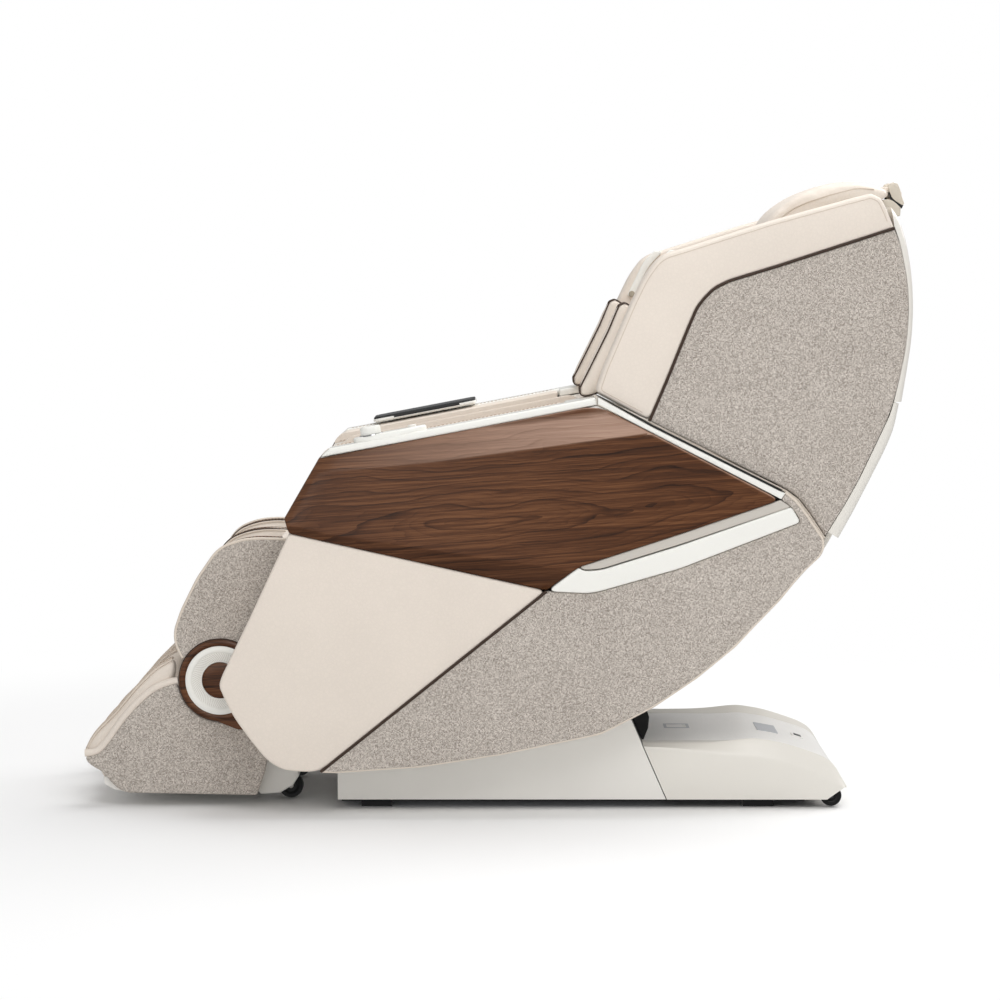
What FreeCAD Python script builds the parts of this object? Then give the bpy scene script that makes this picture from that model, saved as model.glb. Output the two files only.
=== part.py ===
import FreeCAD, Part
import math
import os

import Sketcher
from FreeCAD import Placement, Rotation, Vector

# Massage chair. Millimetres, +Z up, +X towards the back of the chair, sitter faces -X.
# The origin is on the floor, in the middle of the chair's length and width.
# The sitter's left side is -Y.

doc = FreeCAD.newDocument("massage_chair")
sheet = doc.addObject("Spreadsheet::Sheet", "sizes")

# Driving dimensions
SIZES = [
    ("clearance", 0.3, "gap between pieces of different bodies"),
    ("running_gap", 0.05, "radial gap of a shaft in its bore"),
    ("base_half_width", 255, "middle to the side of the base"),
    ("base_front", 322, "origin to the front of the base"),
    ("base_underside", 18, "floor to the lower edge of the covers"),
    ("base_height", 178, "floor to the top of the front cover"),
    ("cover_wall", 4, "wall of the base covers"),
    ("plate_half_width", 190, "middle to the side of the silver plate"),
    ("plate_recess", 8, "depth of the plate below the cheeks"),
    ("plate_thickness", 3, "silver plate"),
    ("pan_thickness", 6, "steel floor pan"),
    ("pan_rear", 628, "origin to the rear of the floor pan"),
    ("beam_inner", 165, "middle to the inner face of a beam"),
    ("beam_width", 50, "width of a base beam"),
    ("beam_rear", 255, "origin to the rear end of the beams"),
    ("pad_length", 60, "floor pad along the base"),
    ("pad_width", 50, "floor pad across the base"),
    ("pad_middle", 205, "middle to the centre of a floor pad"),
    ("pad_front", 246, "origin to the centre of the front pads"),
    ("pad_rear", 514, "origin to the centre of the rear pads"),
    ("rear_wheel_radius", 21, "transport wheel"),
    ("rear_wheel_width", 18, "transport wheel"),
    ("rear_wheel_x", 658, "origin to the transport wheel's axle"),
    ("wheel_lift", 2.5, "wheels hang this far above the floor"),
    ("rear_wheel_middle", 234, "middle to the centre of a transport wheel"),
    ("axle_radius", 5, "wheel axles"),
    ("rail_middle", 200, "middle to the centre of a slide rail"),
    ("rail_width", 20, "slide rail"),
    ("rail_height", 22, "slide rail"),
    ("rail_front", 300, "origin to the front end of the rails"),
    ("rail_rear", 250, "origin to the rear end of the rails"),
    ("screw_radius", 7, "spindle of the forward slide"),
    ("screw_height", 20, "base top to the spindle's axis"),
    ("carriage_front", 150, "origin to the front of the carriage plate"),
    ("carriage_rear", 250, "origin to the rear of the carriage plate"),
    ("carriage_half_width", 235, "middle to the side of the carriage plate"),
    ("carriage_thickness", 8, "carriage plate"),
    ("glide_height", 18, "glide blocks under the carriage plate"),
    ("tilt_x", 100, "origin to the tilt axis"),
    ("tilt_height", 46, "carriage plate's top to the tilt axis"),
    ("tilt_pin_radius", 9, "tilt pins"),
    ("tilt_ear_inner", 150, "middle to the inner face of a carriage ear"),
    ("ear_thickness", 15, "hinge ears"),
    ("ear_radius", 26, "hinge ears"),
    ("seat_floor", 300, "floor to the underside of the seat frame"),
    ("seat_crown", 14, "draw of the seat and back cushions at their sides"),
    ("pad_crown", 7, "draw of the arm, shoulder, calf and foot pads at their sides"),
    ("arm_crown", 2.5, "draw of the arm pads at their sides"),
    ("pillow_crown", 9, "draw of the pillow at its sides"),
    ("sheet_metal", 6, "plates of the seat frame"),
    ("seat_pan_height", 385, "floor to the underside of the seat pan"),
    ("seat_front", 362, "origin to the front of the seat"),
    ("seat_rear", 325, "origin to the rear of the seat"),
    ("pod_inner", 262, "middle to the inner face of a side pod"),
    ("pod_outer", 390, "middle to the outer face of a side pod"),
    ("skin", 18, "thickness of the side panels"),
    ("pod_wall", 6, "wall of the side shells"),
    ("seam", 0.6, "gap between two side panels"),
    ("facet_lean", 9, "the wood's top and bottom facets draw in by this much"),
    ("arm_cap_rise", 14, "height of the white arm top above the wood"),
    ("arm_cap_width", 64, "white cap beside the leather arm pad"),
    ("recline_x", 440, "origin to the recline axis"),
    ("recline_z", 419, "floor to the recline axis"),
    ("hinge_pin_radius", 12, "recline pins"),
    ("wing_inner", 300, "middle to the inner face of a wing"),
    ("wing_outer", 372, "middle to the outer face of a wing"),
    ("back_slope", 66, "slope of the back cushion, degrees"),
    ("track_middle", 232, "middle to the centre of a back rail"),
    ("track_width", 16, "back rail"),
    ("track_depth", 40, "back rail"),
    ("back_half_width", 256, "middle to the side of the lower back shell"),
    ("shell_wall", 12, "wall of the back shells"),
    ("cushion_front", 145, "recline axis line to the front of the back cushion"),
    ("cushion_rear", 70, "recline axis line to the rear of the back cushion"),
    ("cushion_top", 690, "length of the back cushion above the recline axis"),
    ("unit_half_width", 236, "middle to the side of the massage unit"),
    ("pillow_half_width", 150, "middle to the side of the pillow"),
    ("pillow_pin_radius", 8, "pin that the pillow hangs on"),
    ("pillow_pin_x", 802, "origin to the pillow's pin"),
    ("pillow_pin_z", 1218, "floor to the pillow's pin"),
    ("shoulder_inner", 236, "middle to the inner face of a shoulder pad"),
    ("leg_x", 405, "origin to the leg rest's hinge"),
    ("leg_z", 505, "floor to the leg rest's hinge"),
    ("leg_gap", 14, "gap between the leg rest and a side pod"),
    ("leg_panel", 12, "thickness of the leg rest's side panels"),
    ("leg_pin_radius", 9, "leg rest hinge pins"),
    ("ring_x", 554, "origin to the foot rest's hinge"),
    ("ring_z", 256, "floor to the foot rest's hinge"),
    ("ring_radius", 81, "wood-look ring"),
    ("ring_thickness", 8, "ring proud of the side panel"),
    ("foot_pin_radius", 10, "foot rest hinge pins"),
    ("well_inner", 26, "middle to the inner face of a calf or foot well"),
    ("well_outer", 190, "middle to the outer face of a calf or foot well"),
    ("front_wheel_radius", 24.6, "front wheel"),
    ("front_wheel_width", 24, "front wheel"),
    ("front_wheel_x", 422, "origin to the front wheel's axle"),
    ("front_wheel_middle", 132, "middle to the centre of a front wheel"),
    ("knob_radius", 20, "quick control knob"),
    ("knob_height", 16, "quick control knob"),
    ("tablet_length", 225, "remote"),
    ("tablet_width", 122, "remote"),
    ("tablet_thickness", 12, "remote"),
]
for row, (alias, value, meaning) in enumerate(SIZES, start=1):
    sheet.set(f"A{row}", meaning)
    sheet.set(f"B{row}", str(value))
    sheet.setAlias(f"B{row}", alias)
doc.recompute()


def size(alias):
    """A driving dimension as a number."""
    return float(sheet.get(alias))


def bound(text):
    """Expression text in which {name} stands for a driving dimension."""
    return text.replace("{", "sizes.").replace("}", "")


nodes = {}


def keep(name, piece):
    """Make a finished piece a sub-part of its own."""
    piece.Label = name
    nodes[name] = piece
    return piece


def box(low, high):
    """Box between two corners given as expressions."""
    piece = doc.addObject("Part::Box", "Block")
    sides = ("Length", "Width", "Height")
    for side, axis, start, end in zip(sides, "xyz", low, high):
        piece.setExpression(side, bound(f"({end}) - ({start})"))
        piece.setExpression(f"Placement.Base.{axis}", bound(start))
    return piece


TURNS = {
    "x": Rotation(Vector(0, 1, 0), 90),
    "y": Rotation(Vector(1, 0, 0), -90),
    "z": Rotation(),
}


def rod(axis, start, length, radius):
    """Cylinder along x, y or z from a start point."""
    piece = doc.addObject("Part::Cylinder", "Rod")
    piece.Placement = Placement(Vector(), TURNS[axis])
    piece.setExpression("Radius", bound(radius))
    piece.setExpression("Height", bound(length))
    for letter, value in zip("xyz", start):
        piece.setExpression(f"Placement.Base.{letter}", bound(value))
    return piece


def join(pieces):
    """One piece from several that touch or overlap, or a group of separate ones."""
    piece = doc.addObject("Part::MultiFuse", "Joined")
    piece.Shapes = pieces
    piece.Refine = True
    return piece


def cut(base, tools):
    """A piece with others taken out of it."""
    piece = doc.addObject("Part::Cut", "Opened")
    piece.Base = base
    piece.Tool = tools[0] if len(tools) == 1 else join(tools)
    return piece


def slab(points, low, high):
    """Side outline made solid from y = low to y = high, both expressions."""
    body = doc.addObject("PartDesign::Body", "Slab")
    sketch = body.newObject("Sketcher::SketchObject", "SideOutline")
    plane = [f for f in body.Origin.OriginFeatures if f.Role == "XZ_Plane"][0]
    sketch.AttachmentSupport = [(plane, "")]
    sketch.MapMode = "FlatFace"
    sketch.setExpression("AttachmentOffset.Base.z", bound(f"-({high})"))
    corners = [Vector(x, z, 0) for x, z in points]
    count = len(corners)
    for index in range(count):
        line = Part.LineSegment(corners[index], corners[(index + 1) % count])
        sketch.addGeometry(line, False)
    for index in range(count):
        following = (index + 1) % count
        sketch.addConstraint(Sketcher.Constraint("Coincident", index, 2, following, 1))
    pad = body.newObject("PartDesign::Pad", "Thickness")
    pad.Profile = sketch
    pad.setExpression("Length", bound(f"({high}) - ({low})"))
    return body


def span(side, inner, outer):
    """Low and high y of a piece between two distances from the middle; side is -1 or 1."""
    if side > 0:
        return inner, outer
    return f"-({outer})", f"-({inner})"


def offset(points, distance):
    """Outline with every side moved inwards by a distance."""
    area = sum(a[0] * b[1] - b[0] * a[1] for a, b in zip(points, points[1:] + points[:1]))
    turn = 1 if area > 0 else -1
    moved = []
    count = len(points)
    for index, (x, z) in enumerate(points):
        before = points[index - 1]
        after = points[(index + 1) % count]
        first = Vector(x - before[0], z - before[1], 0).normalize()
        second = Vector(after[0] - x, after[1] - z, 0).normalize()
        inward_first = Vector(-first.y * turn, first.x * turn, 0)
        inward_second = Vector(-second.y * turn, second.x * turn, 0)
        sum_of_both = inward_first + inward_second
        reach = distance * 2 / sum_of_both.Length ** 2
        moved.append((x + sum_of_both.x * reach, z + sum_of_both.y * reach))
    return moved


def section(points, y):
    """Closed side outline at a height y across the chair, as one section of a loft."""
    sketch = doc.addObject("Sketcher::SketchObject", "Section")
    sketch.Placement = Placement(Vector(), Rotation(Vector(1, 0, 0), 90))
    sketch.setExpression("Placement.Base.y", bound(y))
    corners = [Vector(x, z, 0) for x, z in points]
    for start, end in zip(corners, corners[1:] + corners[:1]):
        sketch.addGeometry(Part.LineSegment(start, end), False)
    return sketch


# Share of a cushion's width and share of its crown that is drawn in there
CROWN = ((0, 1), (0.03, 0.55), (0.1, 0.2), (0.3, 0), (0.7, 0), (0.9, 0.2), (0.97, 0.55), (1, 1))


def cushion(points, low, high, crown):
    """Crowned cushion between y = low and y = high, drawn in by crown at both sides."""
    loft = doc.addObject("Part::Loft", "Cushion")
    sections = []
    for share, drawn in CROWN:
        outline = offset(points, size(crown) * drawn) if drawn else points
        sections.append(section(outline, f"({low}) + (({high}) - ({low})) * {share}"))
    loft.Sections = sections
    loft.Solid = True
    loft.Ruled = True
    return loft


def arc_about(centre, radius, angles):
    """Points of a circle at angles in degrees."""
    return [
        (centre[0] + radius * math.cos(math.radians(a)), centre[1] + radius * math.sin(math.radians(a)))
        for a in angles
    ]


def along_back(up, rear):
    """Point given by its distance up the back and its distance behind the recline axis."""
    slope = math.radians(size("back_slope"))
    x = size("recline_x") + up * math.cos(slope) + rear * math.sin(slope)
    z = size("recline_z") + up * math.sin(slope) - rear * math.cos(slope)
    return x, z


SIDES = (("left", -1), ("right", 1))

# Base: floor pan, covers, plate, pads and wheels
cover_foot = size("base_underside")
cover_top = size("base_height")
base_front = -size("base_front")
wall = size("cover_wall")
seam = size("seam")

SEAM_LOW = (330, cover_foot)
SEAM_HIGH = (260, cover_top)
FRONT_COVER = [
    (base_front, cover_foot),
    (SEAM_LOW[0] - seam, cover_foot),
    (SEAM_HIGH[0] - seam, cover_top),
    (base_front + 28, cover_top),
    (base_front, cover_top - 30),
]


def seam_x(z):
    """Place of the seam between the two covers at a height."""
    return SEAM_LOW[0] + (z - SEAM_LOW[1]) * (SEAM_HIGH[0] - SEAM_LOW[0]) / (SEAM_HIGH[1] - SEAM_LOW[1])


CHEEK_TOP = [(seam_x(129), 129), (420, 130), (474, 136), (502, 141), (572, 130), (663, 88), (687, 45)]
REAR_COVER = [SEAM_LOW] + CHEEK_TOP + [(649, cover_foot)]
plate_level = CHEEK_TOP[0][1] - size("plate_recess")
PLATE_TOP = [(seam_x(plate_level), plate_level)]
PLATE_TOP += [(x, z - size("plate_recess")) for x, z in CHEEK_TOP[1:-1]]


def hollow(points, low, high, wall_text):
    """Open-bottomed cover: the outline's solid and the space inside it."""
    inner = offset(points, wall)
    lowest = min(z for x, z in points)
    inner = [(x, lowest - wall if z < lowest + wall + 1 else z) for x, z in inner]
    outside = slab(points, low, high)
    inside = slab(inner, f"{low} + {wall_text}", f"{high} - {wall_text}")
    return outside, inside


def plate_holes():
    """Room for the switch and the cord's socket in the plate and the wall under it."""
    return [
        box(("337 - {clearance}", "-29 - {clearance}", "100"), ("389 + {clearance}", "29 + {clearance}", "160")),
        box(("597 - {clearance}", "-20 - {clearance}", "60"), ("627 + {clearance}", "20 + {clearance}", "160")),
    ]


def base_covers():
    half = "{base_half_width}"
    front_outside, front_inside = hollow(FRONT_COVER, f"-{half}", half, "{cover_wall}")
    outsides = []
    insides = []
    low_middle = [SEAM_LOW] + PLATE_TOP + [(680, 45 - 8), (645, cover_foot)]
    outsides.append(slab(low_middle, "-{plate_half_width}", "{plate_half_width}"))
    insides.append(hollow(low_middle, f"-{half}", half, "{cover_wall}")[1])
    doorway = box(("270", "-{base_half_width} + 11", "0"),
                  ("345", "{base_half_width} - 11", "{base_underside} + {pan_thickness} + 2"))
    for name, side in SIDES:
        low, high = span(side, "{plate_half_width}", half)
        outside, inside = hollow(REAR_COVER, low, high, "{cover_wall}")
        outsides.append(outside)
        insides.append(inside)
        low, high = span(side, "{rear_wheel_middle} - {rear_wheel_width} / 2 - 14 - {clearance}",
                         "{rear_wheel_middle} + {rear_wheel_width} / 2 + 4")
        insides.append(rod("y", ("{rear_wheel_x}", low, "{rear_wheel_radius} + {wheel_lift}"),
                           f"({high}) - ({low})", "{rear_wheel_radius} + 4"))
    keep("base_front_cover", cut(front_outside, [front_inside, doorway]))
    keep("base_rear_cover", cut(join(outsides), insides + [doorway] + plate_holes()))
    thickness = size("plate_thickness")
    (start_x, start_z), (next_x, next_z) = PLATE_TOP[:2]
    setback = 2
    lower = [(start_x + setback, start_z + setback * (next_z - start_z) / (next_x - start_x))] + PLATE_TOP[1:]
    plate = [(x, z + thickness) for x, z in lower] + lower[::-1]
    clear = "{plate_half_width} - {seam}"
    blank = slab(plate, f"-({clear})", clear)
    keep("base_top_plate", cut(blank, plate_holes()))


def base_frame():
    pan = box(("-{base_front} + 12", "-{base_half_width} + 12", "{base_underside}"),
              ("{pan_rear}", "{base_half_width} - 12", "{base_underside} + {pan_thickness}"))
    pieces = [pan]
    for name, side in SIDES:
        low, high = span(side, "{beam_inner}", "{beam_inner} + {beam_width}")
        pieces.append(box(("-{base_front} + 40", low, "{base_underside}"),
                          ("{beam_rear} - 8", high, "{base_height} - {cover_wall}")))
        low, high = span(side, "{rear_wheel_middle} - {rear_wheel_width} / 2 - 14",
                         "{rear_wheel_middle} - {rear_wheel_width} / 2 - 1")
        pieces.append(box(("{pan_rear} - 20", low, "{base_underside}"),
                          ("{rear_wheel_x} + 6", high, "{base_underside} + 16")))
        low, high = span(side, "{rear_wheel_middle} - {rear_wheel_width} / 2 - 2",
                         "{rear_wheel_middle} + {rear_wheel_width} / 2")
        pieces.append(rod("y", ("{rear_wheel_x}", low, "{rear_wheel_radius} + {wheel_lift}"),
                          f"({high}) - ({low})", "{axle_radius}"))
    pieces.append(box(("400", "-{plate_half_width} + 20", "{base_underside}"),
                      ("440", "{plate_half_width} - 20", "117.6")))
    keep("base_frame", join(pieces))
    pads = []
    for name, side in SIDES:
        low, high = span(side, "{pad_middle} - {pad_width} / 2", "{pad_middle} + {pad_width} / 2")
        for centre in ("-{pad_front}", "{pad_rear}"):
            pads.append(box((f"{centre} - {{pad_length}} / 2", low, "0"),
                            (f"{centre} + {{pad_length}} / 2", high, "{base_underside}")))
    keep("floor_pads", join(pads))


def wheel(name, x, z, side, middle, width, radius):
    """Tyre with a bore that runs on its axle."""
    low, high = span(side, f"{middle} - {width} / 2", f"{middle} + {width} / 2")
    tyre = rod("y", (x, low, z), f"({high}) - ({low})", radius)
    bore = rod("y", (x, low, z), f"({high}) - ({low})", "{axle_radius} + {running_gap}")
    keep(name, cut(tyre, [bore]))


boot_foot = plate_level + size("plate_thickness")
BOOT = [(seam_x(boot_foot) + 3, boot_foot), (297, 150), (299, 172), (290, 194), (276, 204), (262, 204),
        (261, cover_top), (seam_x(boot_foot) + 1, boot_foot + 3)]


def base_fittings():
    for name, side in SIDES:
        wheel(f"rear_wheel_{name}", "{rear_wheel_x}", "{rear_wheel_radius} + {wheel_lift}", side,
              "{rear_wheel_middle}", "{rear_wheel_width}", "{rear_wheel_radius}")
    keep("hose_boot", slab(BOOT, "-180", "180"))
    rails = []
    for name, side in SIDES:
        low, high = span(side, "{rail_middle} - {rail_width} / 2", "{rail_middle} + {rail_width} / 2")
        rails.append(box(("-{rail_front}", low, "{base_height}"),
                         ("{rail_rear}", high, "{base_height} + {rail_height}")))
    keep("slide_rails", join(rails))
    height = "{base_height} + {screw_height}"
    spindle = rod("x", ("-{rail_front} + 8", "0", height), "{rail_front} + 62", "{screw_radius}")
    blocks = []
    for start in ("-{rail_front} + 2", "50"):
        blocks.append(box((start, "-16", "{base_height}"), (f"{start} + 16", "16", f"{height} + 12")))
    keep("slide_screw", join([spindle] + blocks))
    # Socket for the cord, let into the plate's rear slope, with three contacts
    body = box(("597", "-20", "70"), ("627", "20", "119"))
    hollow_space = box(("601", "-16", "88"), ("623", "16", "120"))
    contacts = [box((f"{x}", f"{y}", "87"), (f"{x} + 5", f"{y} + 2", "104"))
                for x, y in (("613", "-1"), ("605", "-9"), ("605", "7"))]
    keep("power_inlet", join([cut(body, [hollow_space])] + contacts))
    # Rocker switch in its bezel
    bezel = box(("337", "-29", "112"), ("389", "29", "128"))
    window = box(("343", "-22", "111"), ("383", "22", "129"))
    pins = rod("y", ("363", "-24", "121"), "48", "2.5")
    keep("switch_bezel", join([cut(bezel, [window]), pins]))
    rocker = slab([(344.6, 117), (344.6, 122), (363, 126), (381.4, 128), (381.4, 117), (363, 114)],
                  "-21", "21")
    keep("power_switch", cut(rocker, [rod("y", ("363", "-24", "121"), "48", "2.5 + {running_gap}")]))


# Carriage of the forward slide
def carriage():
    plate_low = "{base_height} + {rail_height} + {glide_height}"
    plate_high = f"{plate_low} + {{carriage_thickness}}"
    pieces = [box(("-{carriage_front}", "-{carriage_half_width}", plate_low),
                  ("{carriage_rear}", "{carriage_half_width}", plate_high))]
    tilt_z = f"{plate_high} + {{tilt_height}}"
    for name, side in SIDES:
        low, high = span(side, "{rail_middle} - 15", "{rail_middle} + 15")
        for start in ("-{carriage_front}", "{carriage_rear} - 70"):
            pieces.append(box((start, low, "{base_height} + {rail_height} + {clearance}"),
                              (f"{start} + 70", high, plate_low)))
        low, high = span(side, "{tilt_ear_inner}", "{tilt_ear_inner} + {ear_thickness}")
        pieces.append(box(("{tilt_x} - {ear_radius}", low, plate_low),
                          ("{tilt_x} + {ear_radius}", high, tilt_z)))
        pieces.append(rod("y", ("{tilt_x}", low, tilt_z), "{ear_thickness}", "{ear_radius}"))
        low, high = span(side, "{tilt_ear_inner}", "{tilt_ear_inner} + 2 * {ear_thickness} + 2")
        pieces.append(rod("y", ("{tilt_x}", low, tilt_z), f"({high}) - ({low})", "{tilt_pin_radius}"))
    keep("carriage_plate", join(pieces))
    screw_z = "{base_height} + {screw_height}"
    housing = box(("-60", "-24", "{base_height} + 2"), ("20", "60", plate_low))
    bore = rod("x", ("-61", "0", screw_z), "82", "{screw_radius} + {clearance}")
    keep("slide_motor", cut(housing, [bore]))
    keep("tilt_actuator", join([
        box(("-140", "50", plate_high), ("-80", "110", f"{plate_high} + 40")),
        rod("z", ("-110", "80", f"{plate_high} + 39"),
            f"{{seat_floor}} - {{clearance}} - ({plate_high} + 39)", "10"),
    ]))
    return tilt_z


# Seat body: frame, pan, cushion and what lies under the cushion
def seat(tilt_z):
    floor_top = "{seat_floor} + {sheet_metal}"
    pieces = [box(("-{seat_front}", "-{pod_inner}", "{seat_floor}"), ("{seat_rear}", "{pod_inner}", floor_top))]
    ears = []
    bores = []
    for name, side in SIDES:
        low, high = span(side, "{pod_inner} - 2 * {sheet_metal}", "{pod_inner}")
        pieces.append(box(("-{seat_front}", low, floor_top), ("{seat_rear}", high, "{seat_pan_height}")))
        low, high = span(side, "{tilt_ear_inner} + {ear_thickness} + {clearance}",
                         "{tilt_ear_inner} + 2 * {ear_thickness} + {clearance}")
        ears.append(box(("{tilt_x} - {ear_radius}", low, tilt_z),
                        ("{tilt_x} + {ear_radius}", high, "{seat_floor}")))
        ears.append(rod("y", ("{tilt_x}", low, tilt_z), f"({high}) - ({low})", "{ear_radius} - 6"))
        bores.append(rod("y", ("{tilt_x}", low, tilt_z), f"({high}) - ({low})",
                         "{tilt_pin_radius} + {running_gap}"))
    pan_top = "{seat_pan_height} + {sheet_metal}"
    pieces.append(box(("-{seat_front}", "-{pod_inner}", "{seat_pan_height}"),
                      ("{seat_rear}", "{pod_inner}", pan_top)))
    keep("seat_frame", cut(join(pieces + ears), bores))
    low = size("seat_pan_height") + size("sheet_metal")
    front = -size("seat_front")
    outline = [(front, low), (front - 2, low + 79), (front + 8, low + 109), (front + 40, low + 121),
               (-150, low + 103), (100, low + 77), (250, low + 73), (268, low + 61), (274, low)]
    keep("seat_cushion", cushion(outline, "-{pod_inner} + 4", "{pod_inner} - 4", "seat_crown"))
    keep("air_pump", box(("40", "-150", floor_top), ("200", "20", "{seat_pan_height} - 9")))
    keep("control_box", box(("-250", "-110", floor_top), ("-60", "110", "{seat_pan_height} - 34")))


# Side pods: outlines of the panels, which share their corners
WOOD_FRONT = (-417, 588)
WOOD_TOP = (-350, 704)
WOOD_PEAK = (188, 807)
WOOD_REAR = (541, 624)
STRIP_BEND = (347, 558)
STRIP_FRONT = (152, 494)
WOOD_POINT = (90, 447)
WOOD_LOW = (-408, 559)
WOOD = [WOOD_FRONT, WOOD_TOP, WOOD_PEAK, WOOD_REAR, STRIP_BEND, STRIP_FRONT, WOOD_POINT, WOOD_LOW]
STRIP_END = [(562, 611), (580, 581)]
STRIP_LOW = [(347, 491), (193, 447), (170, 443)]
STRIP = [WOOD_REAR] + STRIP_END + STRIP_LOW + [WOOD_POINT, STRIP_FRONT, STRIP_BEND]
PIPING_FOOT = (-348, 95)
LEATHER = [WOOD_LOW, (-486, 392), (-507, 349), (-540, 280), (-545, 262), (-522, 209), (-486, 158),
           (-455, 119), (-426, 99), (-390, 94), PIPING_FOOT, WOOD_POINT]
FABRIC_LOW = [(-317, 94), (-155, 105), (0, 129), (194, 169), (237, 191), (298, 223), (379, 278),
              (453, 339), (491, 380), (539, 430), (581, 482), (617, 516), (623, 530)]
TAIL = [(623, 546), (593, 590), (571, 620), (550, 637)]
FABRIC = ([PIPING_FOOT] + FABRIC_LOW + TAIL + [WOOD_REAR] + STRIP_END + STRIP_LOW + [WOOD_POINT])
POD = ([WOOD_FRONT, WOOD_TOP, WOOD_PEAK] + TAIL[::-1] + FABRIC_LOW[::-1] + [PIPING_FOOT]
       + LEATHER[1:-2][::-1] + [WOOD_LOW])


CAP_FRONT = (WOOD_TOP[0] + 21, WOOD_TOP[1] + size("arm_cap_rise") + 5)
CAP_REAR = (WOOD_PEAK[0] - 4, WOOD_PEAK[1] + size("arm_cap_rise"))
PAD_END = 124
arm_slope = math.degrees(math.atan2(CAP_REAR[1] - CAP_FRONT[1], CAP_REAR[0] - CAP_FRONT[0]))


def arm_height(x, above=0):
    """Height at x of a line that runs above the white top of the arms."""
    return CAP_FRONT[1] + (x - CAP_FRONT[0]) * math.tan(math.radians(arm_slope)) + above


def arm_foot(x):
    """Height at x of the line on which the arm caps and pads stand."""
    return WOOD_TOP[1] + (x - WOOD_TOP[0]) * (WOOD_PEAK[1] - WOOD_TOP[1]) / (WOOD_PEAK[0] - WOOD_TOP[0])


def lean_tool(start, end, side, lean, reach):
    """Wedge that draws one edge of a panel's outer face in by lean, over a strip reach wide."""
    run = Vector(end[0] - start[0], 0, end[1] - start[1]).normalize()
    across = Vector(-run.z, 0, run.x)
    outer = side * size("pod_outer")
    base = Vector(start[0], outer, start[1]) - run * reach
    length = math.hypot(end[0] - start[0], end[1] - start[1]) + 2 * reach
    beyond = 60
    drop = side * lean * (beyond + reach) / reach
    corners = [
        base,
        base + across * (beyond + reach),
        base + across * (beyond + reach) + Vector(0, -drop, 0),
    ]
    lift = Vector(0, side * 5, 0)
    outline = [corners[0], corners[2], corners[1] + lift, corners[0] + lift]
    face = Part.Face(Part.makePolygon(outline + [outline[0]]))
    piece = doc.addObject("Part::Feature", "FacetTool")
    piece.Shape = face.extrude(run * length)
    return piece


def side_pods():
    skin_low = "{pod_outer} - {skin}"
    half_seam = size("seam") / 2
    caps = []
    strips = []
    for name, side in SIDES:
        low, high = span(side, "{pod_inner}", skin_low)
        tray = slab(offset(POD, 2), low, high)
        low, high = span(side, "{pod_inner} + {pod_wall}", f"{skin_low} + 1")
        space = slab(offset(POD, 2 + size("pod_wall")), low, high)
        low, high = span(side, "{pod_inner} - 1", "{pod_inner} + {pod_wall} + 1")
        reach = f"({high}) - ({low})"
        holes = [
            rod("y", ("{recline_x}", low, "{recline_z}"), reach, "{hinge_pin_radius} + {running_gap}"),
            rod("y", ("-{leg_x}", low, "{leg_z}"), reach, "{leg_pin_radius} + {running_gap}"),
        ]
        keep(f"side_shell_{name}", cut(tray, [space] + holes))
        low, high = span(side, skin_low, "{pod_outer}")
        facets = [
            lean_tool((-374, 674), (-129, 698), side, size("facet_lean"), 70),
            lean_tool((-129, 698), (291, 754), side, size("facet_lean"), 70),
            lean_tool((122, 489), (-328, 556), side, size("facet_lean"), 50),
        ]
        keep(f"wood_panel_{name}", cut(slab(offset(WOOD, half_seam), low, high), facets))
        low, high = span(side, skin_low, "{pod_outer} - 3")
        keep(f"front_cover_{name}", slab(offset(LEATHER, half_seam), low, high))
        keep(f"side_fabric_{name}", slab(offset(FABRIC, half_seam), low, high))
        strips.append(slab(offset(STRIP, half_seam), low, high))
        low, high = span(side, "{pod_outer} - 8 - {arm_cap_width}", "{pod_outer} - 8")
        caps.append(slab([WOOD_TOP, CAP_FRONT, CAP_REAR, WOOD_PEAK], low, high))
        end = PAD_END + 1
        low, high = span(side, "{pod_inner}", "{pod_outer} - 7 - {arm_cap_width}")
        caps.append(slab([(end, arm_foot(end)), (end, arm_height(end)), CAP_REAR, WOOD_PEAK], low, high))
        pad = [WOOD_TOP, (CAP_FRONT[0], CAP_FRONT[1] - 2), (PAD_END, arm_height(PAD_END, -2)),
               (PAD_END, arm_foot(PAD_END))]
        low, high = span(side, "{pod_inner}", "{pod_outer} - 8 - {arm_cap_width}")
        keep(f"arm_pad_{name}", cushion(pad, low, high, "arm_crown"))
    keep("arm_caps", join(caps))
    keep("accent_strips", join(strips))


def tilted(piece, x, y, z):
    """Lay a piece made at the origin on the slope of the arm tops."""
    piece.Placement = Placement(Vector(x, y, z), Rotation(Vector(0, 1, 0), -arm_slope))
    return piece


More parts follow.
